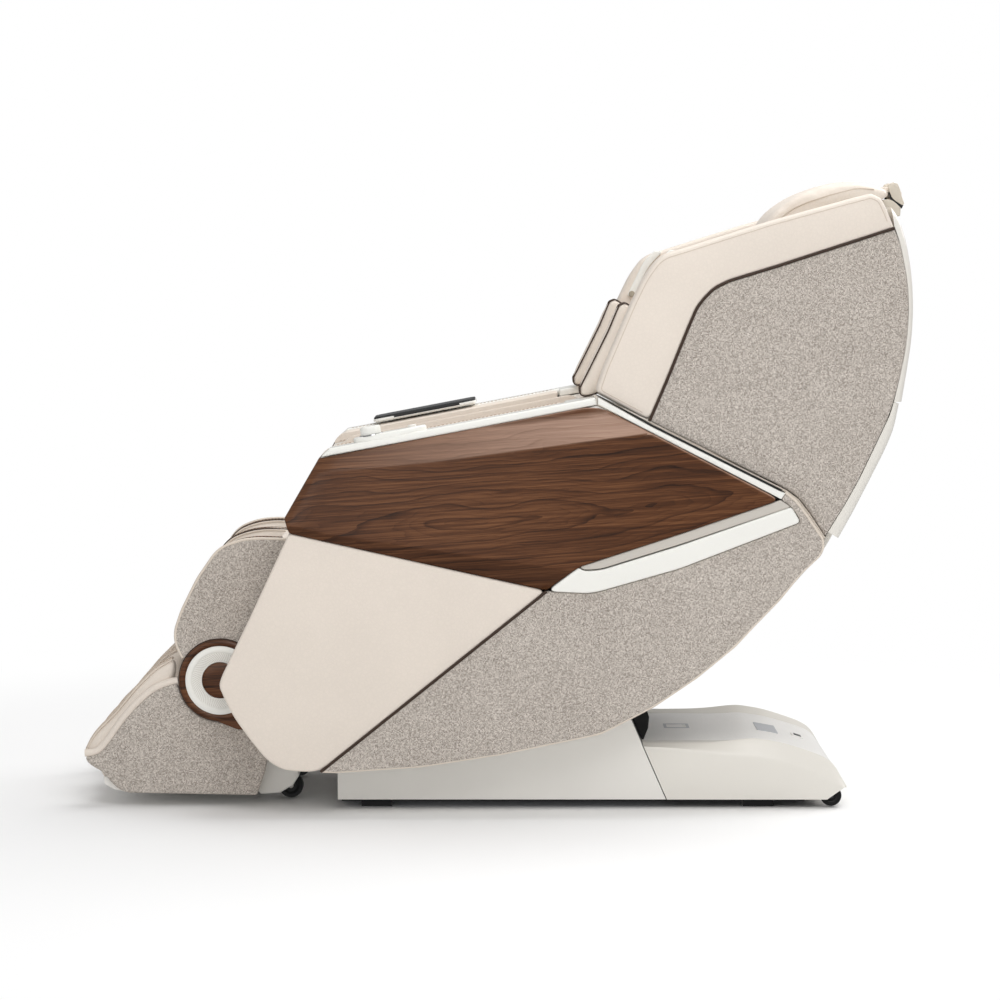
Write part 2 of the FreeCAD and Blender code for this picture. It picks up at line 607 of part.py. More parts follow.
def arm_controls():
    middle = size("pod_outer") - 8 - size("arm_cap_width") / 2
    centre_x = -212
    console = doc.addObject("Part::Box", "Console")
    console.Length = 144
    console.Width = 50
    console.Height = 10
    tilted(console, centre_x - 72, -middle - 25, arm_height(centre_x - 72))
    rounded = doc.addObject("Part::Fillet", "ConsoleRounded")
    rounded.Base = console
    doc.recompute()
    edges = []
    for index, edge in enumerate(console.Shape.Edges, start=1):
        first, last = (vertex.Point for vertex in edge.Vertexes)
        across = (last - first).normalize()
        if abs(across.y) < 0.01 and abs(across.x) < 0.5:
            edges.append((index, 24, 24))
    rounded.Edges = edges
    stud_x = centre_x - 36
    slope = Rotation(Vector(0, 1, 0), -arm_slope)
    up = slope.multVec(Vector(0, 0, 1))
    stud = doc.addObject("Part::Cylinder", "Stud")
    stud.Radius = 5
    stud.Height = 11.5
    stud_base = Vector(stud_x, -middle, arm_height(stud_x)) + up * 8
    stud.Placement = Placement(stud_base, slope)
    well = doc.addObject("Part::Cylinder", "ButtonWell")
    well.Radius = 8.4
    well.Height = 20
    button_x = centre_x + 44
    button_base = Vector(button_x, -middle, arm_height(button_x))
    well.Placement = Placement(button_base + up * 3, slope)
    keep("control_console", cut(join([rounded, stud]), [well]))
    knob = doc.addObject("Part::Cylinder", "Knob")
    knob.setExpression("Radius", bound("{knob_radius}"))
    knob.setExpression("Height", bound("{knob_height}"))
    knob.Placement = Placement(stud_base + up * 2.4, slope)
    bore = doc.addObject("Part::Cylinder", "KnobBore")
    bore.setExpression("Radius", bound("5 + {running_gap}"))
    bore.Height = 12
    bore.Placement = Placement(stud_base, slope)
    keep("control_knob", cut(knob, [bore]))
    button = doc.addObject("Part::Cylinder", "Button")
    button.Radius = 8
    button.Height = 9
    button.Placement = Placement(button_base + up * 5.5, slope)
    keep("control_button", button)
    # Remote on its dock
    dock = doc.addObject("Part::Box", "Dock")
    dock.Length = 150
    dock.Width = 56
    dock.Height = 3
    front = -270
    tilted(dock, front + 40, middle - 28, arm_height(front + 40))
    keep("tablet_dock", dock)
    tablet = doc.addObject("Part::Box", "Remote")
    tablet.setExpression("Length", bound("{tablet_length}"))
    tablet.setExpression("Width", bound("{tablet_width}"))
    tablet.setExpression("Height", bound("{tablet_thickness}"))
    lift = up * (3 + size("clearance"))
    inner_edge = size("pod_outer") - 1 - size("tablet_width")
    tilted(tablet, front + lift.x, inner_edge, arm_height(front) + lift.z)
    keep("tablet", tablet)


# Backrest
WING_FRONT = [(183, 831), (199, 878), (250, 998), (277, 1054), (301, 1086), (319, 1098), (356, 1109),
              (518, 1160), (670, 1202), (712, 1213), (731, 1204), (738, 1193), (757, 1149)]
WING_PIPING = [(757, 1146), (532, 1073), (440, 1045), (412, 1031), (393, 1012), (379, 994), (361, 952),
               (320, 850), (288, 775)]
WING_REAR = [(769, 1119), (783, 1054), (788, 998), (784, 924), (771, 859), (753, 789), (727, 733),
             (694, 663), (666, 612), (634, 560)]
WING_TAIL = [(629, 552), (600, 596), (577, 626), (554, 643)]
UPPER_REAR = [(777, 812), (786, 868), (795, 929), (798, 989), (795, 1054), (783, 1123), (768, 1167), (752, 1188)]
SHELL_TOP = [(700, 1172), (655, 1145)]
LOWER_REAR = [(772, 808), (762, 757), (744, 715), (716, 659), (685, 598), (657, 547)]
LOWER_NARROW = [(640, 516), (607, 477), (573, 439), (547, 415), (513, 395), (491, 380)]


def back_wings():
    for name, side in SIDES:
        low, high = span(side, "{wing_inner}", "{wing_outer}")
        leather = WING_FRONT + WING_PIPING
        keep(f"wing_leather_{name}", slab(offset(leather, size("seam") / 2), low, high))
        fabric = WING_PIPING[::-1] + WING_REAR + WING_TAIL
        low, high = span(side, "{wing_inner}", "{wing_outer} - 3")
        keep(f"wing_fabric_{name}", slab(offset(fabric, size("seam") / 2), low, high))
        lobe = [(163, 818), (153, 822), (152, 836), (181, 892), (210, 949), (224, 982), (234, 999),
                (246, 1003), (262, 992), (236, 900), (208, 832), (190, 826)]
        low, high = span(side, "{shoulder_inner}", "{wing_inner} - {clearance}")
        keep(f"shoulder_pad_{name}", cushion(lobe, low, high, "pad_crown"))


def band(outer, thickness):
    """Closed outline of a wall that follows a line, thickness to its left."""
    inner = []
    for index, (x, z) in enumerate(outer):
        before = outer[max(index - 1, 0)]
        after = outer[min(index + 1, len(outer) - 1)]
        run = Vector(after[0] - before[0], after[1] - before[1], 0).normalize()
        inner.append((x - run.y * thickness, z + run.x * thickness))
    return outer + inner[::-1]


def back_shells():
    wall = size("shell_wall")
    wide = "{wing_outer} - 8"
    crown = UPPER_REAR + SHELL_TOP
    upper_rim = [(757.8, 1150)] + [(x + 0.8, z) for x, z in WING_REAR[:5]] + [(760, 812)]
    keep("back_upper_shell", join([
        slab(band(crown, wall), "-{wing_inner} + {clearance}", "{wing_inner} - {clearance}"),
        slab(UPPER_REAR[:-1] + upper_rim, f"-({wide})", wide),
    ]))
    lower = LOWER_REAR[::-1]
    rim = [(x + 0.8, z) for x, z in WING_REAR[:4:-1]] + [(759.5, 811)]
    keep("back_lower_shell", join([
        slab(lower + rim[::-1], f"-({wide})", wide),
        slab(band(LOWER_NARROW[::-1] + lower, wall), "-{back_half_width}", "{back_half_width}"),
    ]))


def back_box(up_low, up_high, rear_low, rear_high, low, high):
    """Block square to the back's slope."""
    corners = [along_back(up_low, rear_low), along_back(up_high, rear_low),
               along_back(up_high, rear_high), along_back(up_low, rear_high)]
    return slab(corners, low, high)


def back_inside():
    pieces = []
    rails_front = 18
    rails_rear = rails_front + size("track_depth")
    for name, side in SIDES:
        low, high = span(side, "{track_middle} - {track_width} / 2", "{track_middle} + {track_width} / 2")
        pieces.append(back_box(25, 690, rails_front, rails_rear, low, high))
        pieces.append(rod("y", ("{recline_x}", low, "{recline_z}"), f"({high}) - ({low})", "38"))
        low, high = span(side, "{track_middle} - {track_width} / 2", "{pod_inner} + {pod_wall} - 1")
        pieces.append(rod("y", ("{recline_x}", low, "{recline_z}"), f"({high}) - ({low})",
                          "{hinge_pin_radius}"))
        low, high = span(side, "{track_middle}", "{wing_inner}")
        for up in (330, 600):
            pieces.append(back_box(up, up + 40, rails_front, rails_rear, low, high))
    for up in (60, 400, 650):
        pieces.append(back_box(up, up + 40, rails_front + 6, rails_rear, "-{track_middle}", "{track_middle}"))
    keep("back_frame", join(pieces))
    front = -size("cushion_front")
    rear = -size("cushion_rear")
    top = size("cushion_top")
    outline = [along_back(-8, rear), along_back(-8, front + 10), along_back(6, front), along_back(top - 40, front),
               along_back(top - 10, front + 14), along_back(top, rear)]
    shoulders = [along_back(265, rear), along_back(265, front)] + outline[3:]
    keep("back_cushion", join([
        cushion(outline, "-{pod_inner} + 4", "{pod_inner} - 4", "seat_crown"),
        cushion(shoulders, "-{wing_inner} + {clearance}", "{wing_inner} - {clearance}", "seat_crown"),
    ]))
    roller_radius = 15
    roller_line = rear + size("clearance") + roller_radius
    unit_front = roller_line + roller_radius + 2
    keep("massage_unit", back_box(330, 450, unit_front, rails_front - size("clearance"),
                                  "-{unit_half_width}", "{unit_half_width}"))
    rollers = []
    for side in (-1, 1):
        for up in (352, 428):
            x, z = along_back(up, roller_line)
            low, high = span(side, "55", "95")
            rollers.append(rod("y", (f"{x}", low, f"{z}"), "40", f"{roller_radius}"))
            low, high = span(side, "43", "56")
            rollers.append(back_box(up - 8, up + 8, roller_line - 8, unit_front, low, high))
    keep("massage_rollers", join(rollers))


PILLOW = [(541, 1170), (576, 1193), (615, 1209), (690, 1233), (714, 1240), (748, 1232), (772, 1226),
          (776, 1212), (755, 1200), (700, 1187), (645, 1160), (592, 1118), (560, 1050), (531, 990),
          (503, 1004), (500, 1060), (515, 1120)]


def pillow():
    half = "{pillow_half_width}"
    soft = cushion(PILLOW, f"-{half}", half, "pillow_crown")
    pin = ("{pillow_pin_x}", "-38", "{pillow_pin_z}")
    sleeve = rod("y", pin, "76", "{pillow_pin_radius} + 5")
    web = box(("760", "-38", "{pillow_pin_z} - 5"), ("{pillow_pin_x}", "38", "{pillow_pin_z} + 5"))
    bore = rod("y", pin, "76", "{pillow_pin_radius} + {running_gap}")
    keep("headrest_pillow", cut(join([soft, sleeve, web]), [bore]))
    ears = []
    for side in (-1, 1):
        low, high = span(side, "38 + {clearance}", "50")
        ears.append(box(("{pillow_pin_x} - 14", low, "1190"), ("{pillow_pin_x} + 14", high, "{pillow_pin_z}")))
        ears.append(rod("y", ("{pillow_pin_x}", low, "{pillow_pin_z}"), f"({high}) - ({low})", "14"))
    foot = box(("745", "-50", "1150"), ("824", "50", "1194"))
    pin_rod = rod("y", ("{pillow_pin_x}", "-50", "{pillow_pin_z}"), "100", "{pillow_pin_radius}")
    behind = slab([(740, 1100)] + UPPER_REAR[5:] + SHELL_TOP[:1], "-60", "60")
    keep("pillow_bracket", cut(join(ears + [foot, pin_rod]), [behind]))


# Leg rest and foot rest
RING = (-size("ring_x"), size("ring_z"))
LEG_SIDE = ([(-392, 528), (-422, 535), (-479, 537), (-515, 533), (-556, 517), (-597, 458), (-629, 394),
             (-643, 353), (-641, 325), (-628, 300)]
            + arc_about(RING, size("ring_radius"), (150, 120, 95, 70, 48))
            + [(-474, 335), (-432, 400), (-402, 450), (-384, 490), (-382, 512)])
LEG_BACK = [(-392, 526), (-382, 510), (-384, 490), (-402, 450), (-432, 400), (-474, 335), (-512, 348),
            (-458, 430), (-428, 480), (-420, 505), (-414, 524)]
LEG_PAD = [(-414.5, 530), (-430, 536), (-479, 538), (-515, 533), (-556, 517), (-597, 458), (-629, 394),
           (-643, 353), (-641, 325), (-628, 306), (-512.5, 348.5), (-458.5, 430.5), (-428.5, 480.5), (-420.5, 505.5)]
LEG_LINING = [(-414.5, 530), (-438, 534), (-446, 505), (-486, 425), (-541, 340), (-512.5, 348.5),
              (-458.5, 430.5), (-428.5, 480.5), (-420.5, 505.5)]
FOOT_TOP = [(-642, 249), (-659, 245), (-686, 233), (-718, 205), (-746, 173), (-776, 130), (-799, 107)]
FOOT_LOW = [(-802, 79), (-790, 60), (-788, 47), (-768, 35), (-745, 30), (-483, 25), (-461, 87), (-456, 150)]
FOOT_SIDE = (FOOT_TOP + FOOT_LOW
             + arc_about(RING, size("ring_radius") + 4, (-35, -65, -90, -120, -150, -172)))
FOOT_PAD = ([(-650, 298), (-685, 279), (-727, 237), (-766, 189), (-807, 147), (-824, 111), (-800, 84),
             (-788, 62), (-500, 58), (-484, 92), (-480, 150)]
            + arc_about(RING, 94, (-32, -65, -90, -120, -150, -178, 165)))
FOOT_LINING = [(-800, 84), (-788, 62), (-500, 58), (-484, 92), (-480, 150), (-504, 160), (-506, 90),
               (-600, 97), (-770, 119)]


def bolsters(outline, lining, half, tools):
    """Two side bolsters and a middle one on a lining, with a well between each two."""
    pieces = [slab(lining, f"-({half})", half)]
    pieces.append(cushion(outline, "-{well_inner}", "{well_inner}", "pad_crown"))
    for name, side in SIDES:
        low, high = span(side, "{well_outer}", half)
        pieces.append(cushion(outline, low, high, "pad_crown"))
    return cut(join(pieces), tools)


def leg_rest():
    panel = "({pod_inner} - {leg_gap}) - {leg_panel}"
    pieces = [slab(LEG_BACK, f"-({panel})", panel)]
    bores = []
    panels = []
    rings = []
    for name, side in SIDES:
        low, high = span(side, f"{panel} - 14", f"{panel}")
        arm = [(-432, 400), (-474, 335)] + arc_about(RING, 30, (40, -10, -60, -110, -160, 150))
        arm += [(-560, 350), (-458, 432)]
        pieces.append(slab(arm, low, high))
        bores.append(rod("y", ("-{ring_x}", low, "{ring_z}"), f"({high}) - ({low})",
                         "{foot_pin_radius} + {running_gap}"))
        low, high = span(side, f"{panel} - 14", "{pod_inner} + {pod_wall} - 1")
        pieces.append(rod("y", ("-{leg_x}", low, "{leg_z}"), f"({high}) - ({low})", "{leg_pin_radius}"))
        low, high = span(side, panel, "({pod_inner} - {leg_gap})")
        hub = rod("y", ("-{ring_x}", low, "{ring_z}"), f"({high}) - ({low})", "{ring_radius} - 1")
        hole = rod("y", ("-{leg_x}", low, "{leg_z}"), f"({high}) - ({low})", "{leg_pin_radius} + {clearance}")
        panels.append(cut(join([slab(LEG_SIDE, low, high), hub]), [hole]))
        low, high = span(side, "({pod_inner} - {leg_gap})", "({pod_inner} - {leg_gap}) + {ring_thickness}")
        rings.append(rod("y", ("-{ring_x}", low, "{ring_z}"), f"({high}) - ({low})", "{ring_radius}"))
    keep("leg_frame", cut(join(pieces), bores))
    keep("calf_side_panels", join(panels))
    keep("pivot_rings", join(rings))
    inner_panel = f"{panel} - {{seam}}"
    tools = []
    for name, side in SIDES:
        low, high = span(side, f"{panel} - 14.5", f"{panel} + 1")
        tools.append(slab([(-432, 400), (-474, 300), (-560, 300), (-600, 352), (-540, 390), (-458, 445)], low, high))
    keep("calf_pads", bolsters(LEG_PAD, LEG_LINING, inner_panel, tools))


def foot_rest():
    panel = "({pod_inner} - {leg_gap}) - {leg_panel}"
    sole = [(-800, 82), (-788, 61), (-786, 47), (-768, 36), (-745, 31), (-483, 26), (-462, 87), (-457, 150),
            (-479.5, 150), (-483.5, 92), (-499.5, 57.5), (-788, 61.5)]
    pieces = [slab(sole[1:], f"-({panel})", panel)]
    panels = []
    tools = []
    for name, side in SIDES:
        low, high = span(side, f"{panel} - 28.3", f"{panel} - 14.3")
        arm = arc_about(RING, 26, (150, 120, 90, 60, 30, 0)) + [(-470, 150), (-462, 120), (-500, 60), (-540, 60)]
        pieces.append(slab(arm, low, high))
        low, high = span(side, f"{panel} - 28.3", f"{panel} - 1")
        pieces.append(rod("y", ("-{ring_x}", low, "{ring_z}"), f"({high}) - ({low})", "{foot_pin_radius}"))
        low, high = span(side, panel, "({pod_inner} - {leg_gap})")
        panels.append(slab(FOOT_SIDE, low, high))
        low, high = span(side, f"{panel} - 28.8", f"{panel} + 1")
        tools.append(slab([(-640, 300), (-470, 300), (-440, 100), (-505, 55), (-545, 55), (-640, 190)], low, high))
        low, high = span(side, "{front_wheel_middle} - {front_wheel_width} / 2 - 9",
                         "{front_wheel_middle} - {front_wheel_width} / 2 - 1")
        fork = [(-470, 40), (-470, 74), (-430, 62), (-408, 34), (-408, 18), (-440, 18)]
        pieces.append(slab(fork, low, high))
        low, high = span(side, "{front_wheel_middle} - {front_wheel_width} / 2 - 2",
                         "{front_wheel_middle} + {front_wheel_width} / 2")
        pieces.append(rod("y", ("-{front_wheel_x}", low, "{front_wheel_radius} + {wheel_lift}"),
                          f"({high}) - ({low})", "{axle_radius}"))
        wheel(f"front_wheel_{name}", "-{front_wheel_x}", "{front_wheel_radius} + {wheel_lift}", side,
              "{front_wheel_middle}", "{front_wheel_width}", "{front_wheel_radius}")
    keep("foot_shell", join(pieces))
    keep("foot_side_panels", join(panels))
    keep("foot_pads", bolsters(FOOT_PAD, FOOT_LINING, f"{panel} - {{seam}}", tools))


base_frame()
base_covers()
base_fittings()
tilt_axis_z = carriage()
seat(tilt_axis_z)
side_pods()
arm_controls()
back_wings()
back_shells()
back_inside()
pillow()
leg_rest()
foot_rest()

doc.recompute()
for item in doc.Objects:
    if "Invalid" in item.State or "Error" in item.State:
        raise RuntimeError(f"{item.Label} ({item.Name}) failed: {item.State}")
os.makedirs("parts", exist_ok=True)
for name, piece in nodes.items():
    shape = piece.Shape
    if shape.isNull() or not shape.isValid():
        raise RuntimeError(f"{name} has no valid shape")
    if not shape.Solids:
        raise RuntimeError(f"{name} has no solid")
    shape.exportStep(f"parts/{name}.step")
print(len(nodes), "sub-parts written")
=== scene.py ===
"""Looks of a massage chair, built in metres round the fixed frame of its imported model."""

import logging
import math
from collections.abc import Callable, Iterable, Sequence
from dataclasses import dataclass, field
from enum import Enum
from typing import Any

import bmesh
import bpy
import numpy as np
from mathutils import Euler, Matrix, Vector
from mathutils.geometry import delaunay_2d_cdt


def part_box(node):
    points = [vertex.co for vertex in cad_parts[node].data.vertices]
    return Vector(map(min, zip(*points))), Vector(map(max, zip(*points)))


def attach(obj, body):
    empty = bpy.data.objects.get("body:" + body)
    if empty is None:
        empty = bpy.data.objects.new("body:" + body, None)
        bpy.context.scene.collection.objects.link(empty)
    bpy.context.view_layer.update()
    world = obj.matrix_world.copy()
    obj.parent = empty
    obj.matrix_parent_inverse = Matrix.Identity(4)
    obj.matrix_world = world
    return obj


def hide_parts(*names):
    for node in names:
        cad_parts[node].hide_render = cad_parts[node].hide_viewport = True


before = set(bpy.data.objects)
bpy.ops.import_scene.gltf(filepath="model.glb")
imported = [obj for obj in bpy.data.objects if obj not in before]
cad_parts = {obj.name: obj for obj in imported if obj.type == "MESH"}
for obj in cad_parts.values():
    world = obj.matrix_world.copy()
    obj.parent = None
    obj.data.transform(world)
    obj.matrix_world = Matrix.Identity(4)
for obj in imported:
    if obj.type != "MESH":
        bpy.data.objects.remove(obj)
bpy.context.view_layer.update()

log = logging.getLogger("massage_chair")

MM = 0.001
SIDES = {"left": -1.0, "right": 1.0}
Points = Sequence[tuple[float, float]]
Colour = tuple[float, float, float]


class Body(Enum):
    """Bodies of the frame that the pieces ride on."""

    BASE = "base"
    SEAT = "seat"
    BACK = "back"
    PILLOW = "pillow"
    LEG = "leg_rest"
    FOOT = "foot_rest"
    KNOB = "control_knob"
    BUTTON = "control_button"
    TABLET = "tablet"
    FRONT_LEFT = "front_wheel_left"
    FRONT_RIGHT = "front_wheel_right"
    REAR_LEFT = "rear_wheel_left"
    REAR_RIGHT = "rear_wheel_right"


class Slot(Enum):
    """Names of the material slots that the pieces belong to."""

    LEATHER = "cream_leather"
    TWEED = "tweed_fabric"
    WALNUT = "walnut"
    WHITE = "white_trim"
    CREAM = "cream_plastic"
    SHELL = "shell_plastic"
    SILVER = "silver_plate"
    RUBBER = "black_rubber"
    BLACK = "black_plastic"
    BRIGHT = "bright_steel"


def linear(red: int, green: int, blue: int) -> Colour:
    """Scene-linear colour of an 8-bit screen colour.

    Args:
        red: red level, 0 to 255.
        green: green level, 0 to 255.
        blue: blue level, 0 to 255.

    Returns:
        The three linear levels.
    """
    levels = [level / 255 for level in (red, green, blue)]
    return tuple(v / 12.92 if v <= 0.04045 else ((v + 0.055) / 1.055) ** 2.4 for v in levels)


# Shader nodes


def operation(kind: str, swapped: bool = False) -> Callable[..., "Signal"]:
    """Method of a signal that makes a Math node.

    Args:
        kind: the node's operation.
        swapped: True where the other value comes first.

    Returns:
        The method.
    """

    def method(self: "Signal", *other: "Signal | float") -> "Signal":
        """Make the node."""
        values = (*other, self) if swapped else (self, *other)
        return self.paint.maths(kind, *values)

    return method


class Signal:
    """A value that varies over a surface, written in formulas like a number."""

    def __init__(self, paint: "Paint", socket: bpy.types.NodeSocket) -> None:
        """Wrap an output socket of a material's node."""
        self.paint = paint
        self.socket = socket

    __add__ = operation("ADD")
    __radd__ = operation("ADD", swapped=True)
    __sub__ = operation("SUBTRACT")
    __rsub__ = operation("SUBTRACT", swapped=True)
    __mul__ = operation("MULTIPLY")
    __rmul__ = operation("MULTIPLY", swapped=True)
    __pow__ = operation("POWER")
    __gt__ = operation("GREATER_THAN")
    __lt__ = operation("LESS_THAN")
    __abs__ = operation("ABSOLUTE")


class Paint:
    """One material and the nodes that make it."""

    def __init__(self, name: str) -> None:
        """Make an empty material of that name."""
        self.material = bpy.data.materials.new(name)
        self.material.use_nodes = True
        self.tree = self.material.node_tree
        self.tree.nodes.clear()

    def node(
        self, kind: str, settings: dict[str, Any] | None = None, inputs: dict[Any, Any] | None = None
    ) -> bpy.types.Node:
        """Add a node, set it up and fill its sockets.

        Args:
            kind: Blender's node type.
            settings: attributes by name; "stops" holds a ramp's positions and colours.
            inputs: values or links by the socket's name or number.

        Returns:
            The node.
        """
        made = self.tree.nodes.new(kind)
        for key, value in (settings or {}).items():
            if key == "stops":
                self._set_stops(made.color_ramp, value)
            else:
                setattr(made, key, value)
        for key, value in (inputs or {}).items():
            self._fill(made.inputs[key], value)
        return made

    def _set_stops(self, ramp: bpy.types.ColorRamp, stops: Sequence[tuple[float, Colour]]) -> None:
        """Give a colour ramp its stops."""
        while len(ramp.elements) < len(stops):
            ramp.elements.new(1.0)
        for element, (position, colour) in zip(ramp.elements, stops):
            element.position = position
            element.color = (*colour, 1.0)

    def _fill(self, socket: bpy.types.NodeSocket, value: Any) -> None:
        """Link or set one input socket."""
        if isinstance(value, Signal):
            self.tree.links.new(value.socket, socket)
        elif isinstance(value, bpy.types.NodeSocket):
            self.tree.links.new(value, socket)
        elif isinstance(value, tuple) and socket.type == "RGBA":
            socket.default_value = (*value, 1.0)
        else:
            socket.default_value = value

    def maths(self, operation: str, *values: Signal | float) -> Signal:
        """Signal of a Math node."""
        made = self.node("ShaderNodeMath", {"operation": operation}, dict(enumerate(values)))
        return Signal(self, made.outputs[0])

    def within(self, value: Signal, low: float, high: float) -> Signal:
        """Value kept between two limits."""
        return self.maths("MINIMUM", self.maths("MAXIMUM", value, low), high)

    def blend(self, factor: Signal, low: Any, high: Any) -> Signal:
        """Colour that goes from low to high as factor goes from 0 to 1."""
        inputs = {"Factor": factor, 6: low, 7: high}
        made = self.node("ShaderNodeMix", {"data_type": "RGBA"}, inputs)
        return Signal(self, made.outputs[2])

    def parts(self, kind: str) -> list[Signal]:
        """The parts along the three axes of a point's coordinates of one kind."""
        whole = self.node("ShaderNodeTexCoord").outputs[kind]
        split = self.node("ShaderNodeSeparateXYZ", inputs={0: whole})
        return [Signal(self, out) for out in split.outputs]

    def place(self) -> list[Signal]:
        """The three coordinates of a point, in metres in the chair's frame."""
        return self.parts("Object")

    def facing(self) -> list[Signal]:
        """The sizes of the surface's normal along the three axes."""
        return [abs(part) for part in self.parts("Normal")]

    def tilt(self) -> Signal:
        """Upward part of the surface's normal, below zero where it faces down."""
        return self.parts("Normal")[2]

    def point(self, x: Any, y: Any, z: Any) -> Signal:
        """Vector from three values."""
        return Signal(self, self.node("ShaderNodeCombineXYZ", inputs={0: x, 1: y, 2: z}).outputs[0])

    def noise(self, where: Signal, scale: float, detail: float = 2.0, warp: float = 0.0) -> Signal:
        """Cloudy noise of about 0.5 at a vector."""
        inputs = {"Vector": where, "Scale": scale, "Detail": detail, "Distortion": warp}
        return Signal(self, self.node("ShaderNodeTexNoise", inputs=inputs).outputs[0])

    def cells(self, where: Signal, scale: float) -> Signal:
        """Distance to the nearest edge of a pattern of cells."""
        inputs = {"Vector": where, "Scale": scale}
        made = self.node("ShaderNodeTexVoronoi", {"feature": "DISTANCE_TO_EDGE"}, inputs)
        return Signal(self, made.outputs["Distance"])

    def speckle(self, where: Signal) -> Signal:
        """A separate random value between 0 and 1 for each vector."""
        made = self.node("ShaderNodeTexWhiteNoise", {"noise_dimensions": "3D"}, {"Vector": where})
        return Signal(self, made.outputs["Value"])

    def ramp(self, factor: Signal, stops: Sequence[tuple[float, Colour]]) -> Signal:
        """Colour read from a ramp."""
        return Signal(self, self.node("ShaderNodeValToRGB", {"stops": stops}, {0: factor}).outputs[0])

    def bump(self, height: Signal, strength: float, depth: float) -> Signal:
        """Normal of a relief whose full height is depth metres."""
        inputs = {"Height": height, "Strength": strength, "Distance": depth}
        return Signal(self, self.node("ShaderNodeBump", inputs=inputs).outputs[0])

    def finish(self, **sockets: Any) -> bpy.types.Material:
        """Close the material with its shader.

        Args:
            sockets: the shader's sockets, with an underscore for each space.

        Returns:
            The material.
        """
        inputs = {key.replace("_", " "): value for key, value in sockets.items()}
        shader = self.node("ShaderNodeBsdfPrincipled", inputs=inputs)
        self.node("ShaderNodeOutputMaterial", inputs={"Surface": shader.outputs[0]})
        return self.material


@dataclass(frozen=True)
class Leather:
    """Soft grained leather."""

    name: str
    colour: Colour
    roughness: float = 0.46
    grain: float = 520.0
    relief: float = 0.35
    wander: float = 0.006

    def material(self) -> bpy.types.Material:
        """Make the leather."""
        paint = Paint(self.name)
        where = paint.point(*paint.place())
        cloud = paint.node("ShaderNodeTexNoise", inputs={"Vector": where, "Scale": 60.0, "Detail": 2.0})
        shift = {0: cloud.outputs[1], "Scale": self.wander}
        scaled = paint.node("ShaderNodeVectorMath", {"operation": "SCALE"}, shift)
        both = {0: where, 1: scaled.outputs[0]}
        moved = paint.node("ShaderNodeVectorMath", {"operation": "ADD"}, both)
        grained = Signal(paint, moved.outputs[0])
        pores = paint.cells(grained, self.grain)
        creases = paint.cells(grained, self.grain * 0.23)
        pebble = paint.maths("MINIMUM", pores * 2.2, 0.6) + paint.maths("MINIMUM", creases * 1.6, 0.4)
        shade = paint.noise(where, 7.0, 3.0) * 0.6 + pebble * 0.4
        dark = tuple(level * 0.9 for level in self.colour)
        light = tuple(min(level * 1.05, 1.0) for level in self.colour)
        return paint.finish(
            Base_Color=paint.blend(shade, dark, light),
            Roughness=self.roughness + 0.1 * (paint.noise(where, 35.0) - 0.5) + 0.08 * (1.0 - pebble),
            Normal=paint.bump(pebble, self.relief, 0.0006),
            Specular_IOR_Level=0.42,
            Sheen_Weight=0.08,
        )


@dataclass(frozen=True)
class Tweed:
    """Woven upholstery cloth of mixed light and dark yarns."""

    name: str
    light: Colour
    middle: Colour
    dark: Colour
    pitch: float = 0.0022

    def material(self) -> bpy.types.Material:
        """Make the cloth."""
        paint = Paint(self.name)
        x, y, z = paint.place()
        across, along, up = paint.facing()
        on_end = across > paint.maths("MAXIMUM", along, up)
        on_top = up > paint.maths("MAXIMUM", along, across)
        u = x * (1.0 - on_end) + y * on_end
        v = z * (1.0 - on_top) + y * on_top
        turns = 2 * math.pi / self.pitch
        sway = paint.noise(paint.point(x, y, z), 90.0, 1.0) * 1.6
        warp = paint.maths("SINE", u * turns + sway)
        weft = paint.maths("SINE", v * turns + sway)
        over = paint.maths("SINE", u * (turns / 2)) * paint.maths("SINE", v * (turns / 2)) > 0.0
        thread = over * abs(warp) + (1.0 - over) * abs(weft)
        column = paint.maths("FLOOR", u * (1 / self.pitch) + sway * 0.3)
        row = paint.maths("FLOOR", v * (1 / self.pitch) + sway * 0.3)
        knot = paint.speckle(paint.point(column, row, 0.0))
        lengthwise = paint.noise(paint.point(u * 1.0, v * 0.3, y * 0.2), 980.0, 1.0)
        crosswise = paint.noise(paint.point(u * 0.3, v * 1.0, y * 0.2), 980.0, 1.0)
        yarn = over * lengthwise + (1.0 - over) * crosswise
        flecks = paint.noise(paint.point(x, y, z), 560.0, 2.0)
        mixed = knot * 0.2 + yarn * 0.36 + flecks * 0.44 + (thread - 0.5) * 0.08
        stops = [(0.31, self.dark), (0.5, self.middle), (0.69, self.light)]
        cloudy = paint.noise(paint.point(x, y, z), 9.0, 2.0)
        colour = paint.ramp(mixed + 0.05 * (cloudy - 0.5), stops)
        relief = thread * 0.7 + flecks * 0.5
        return paint.finish(
            Base_Color=colour,
            Roughness=0.86 + 0.1 * (flecks - 0.5),
            Normal=paint.bump(relief, 0.4, 0.0006),
            Specular_IOR_Level=0.2,
            Sheen_Weight=0.15,
            Sheen_Roughness=0.5,
        )


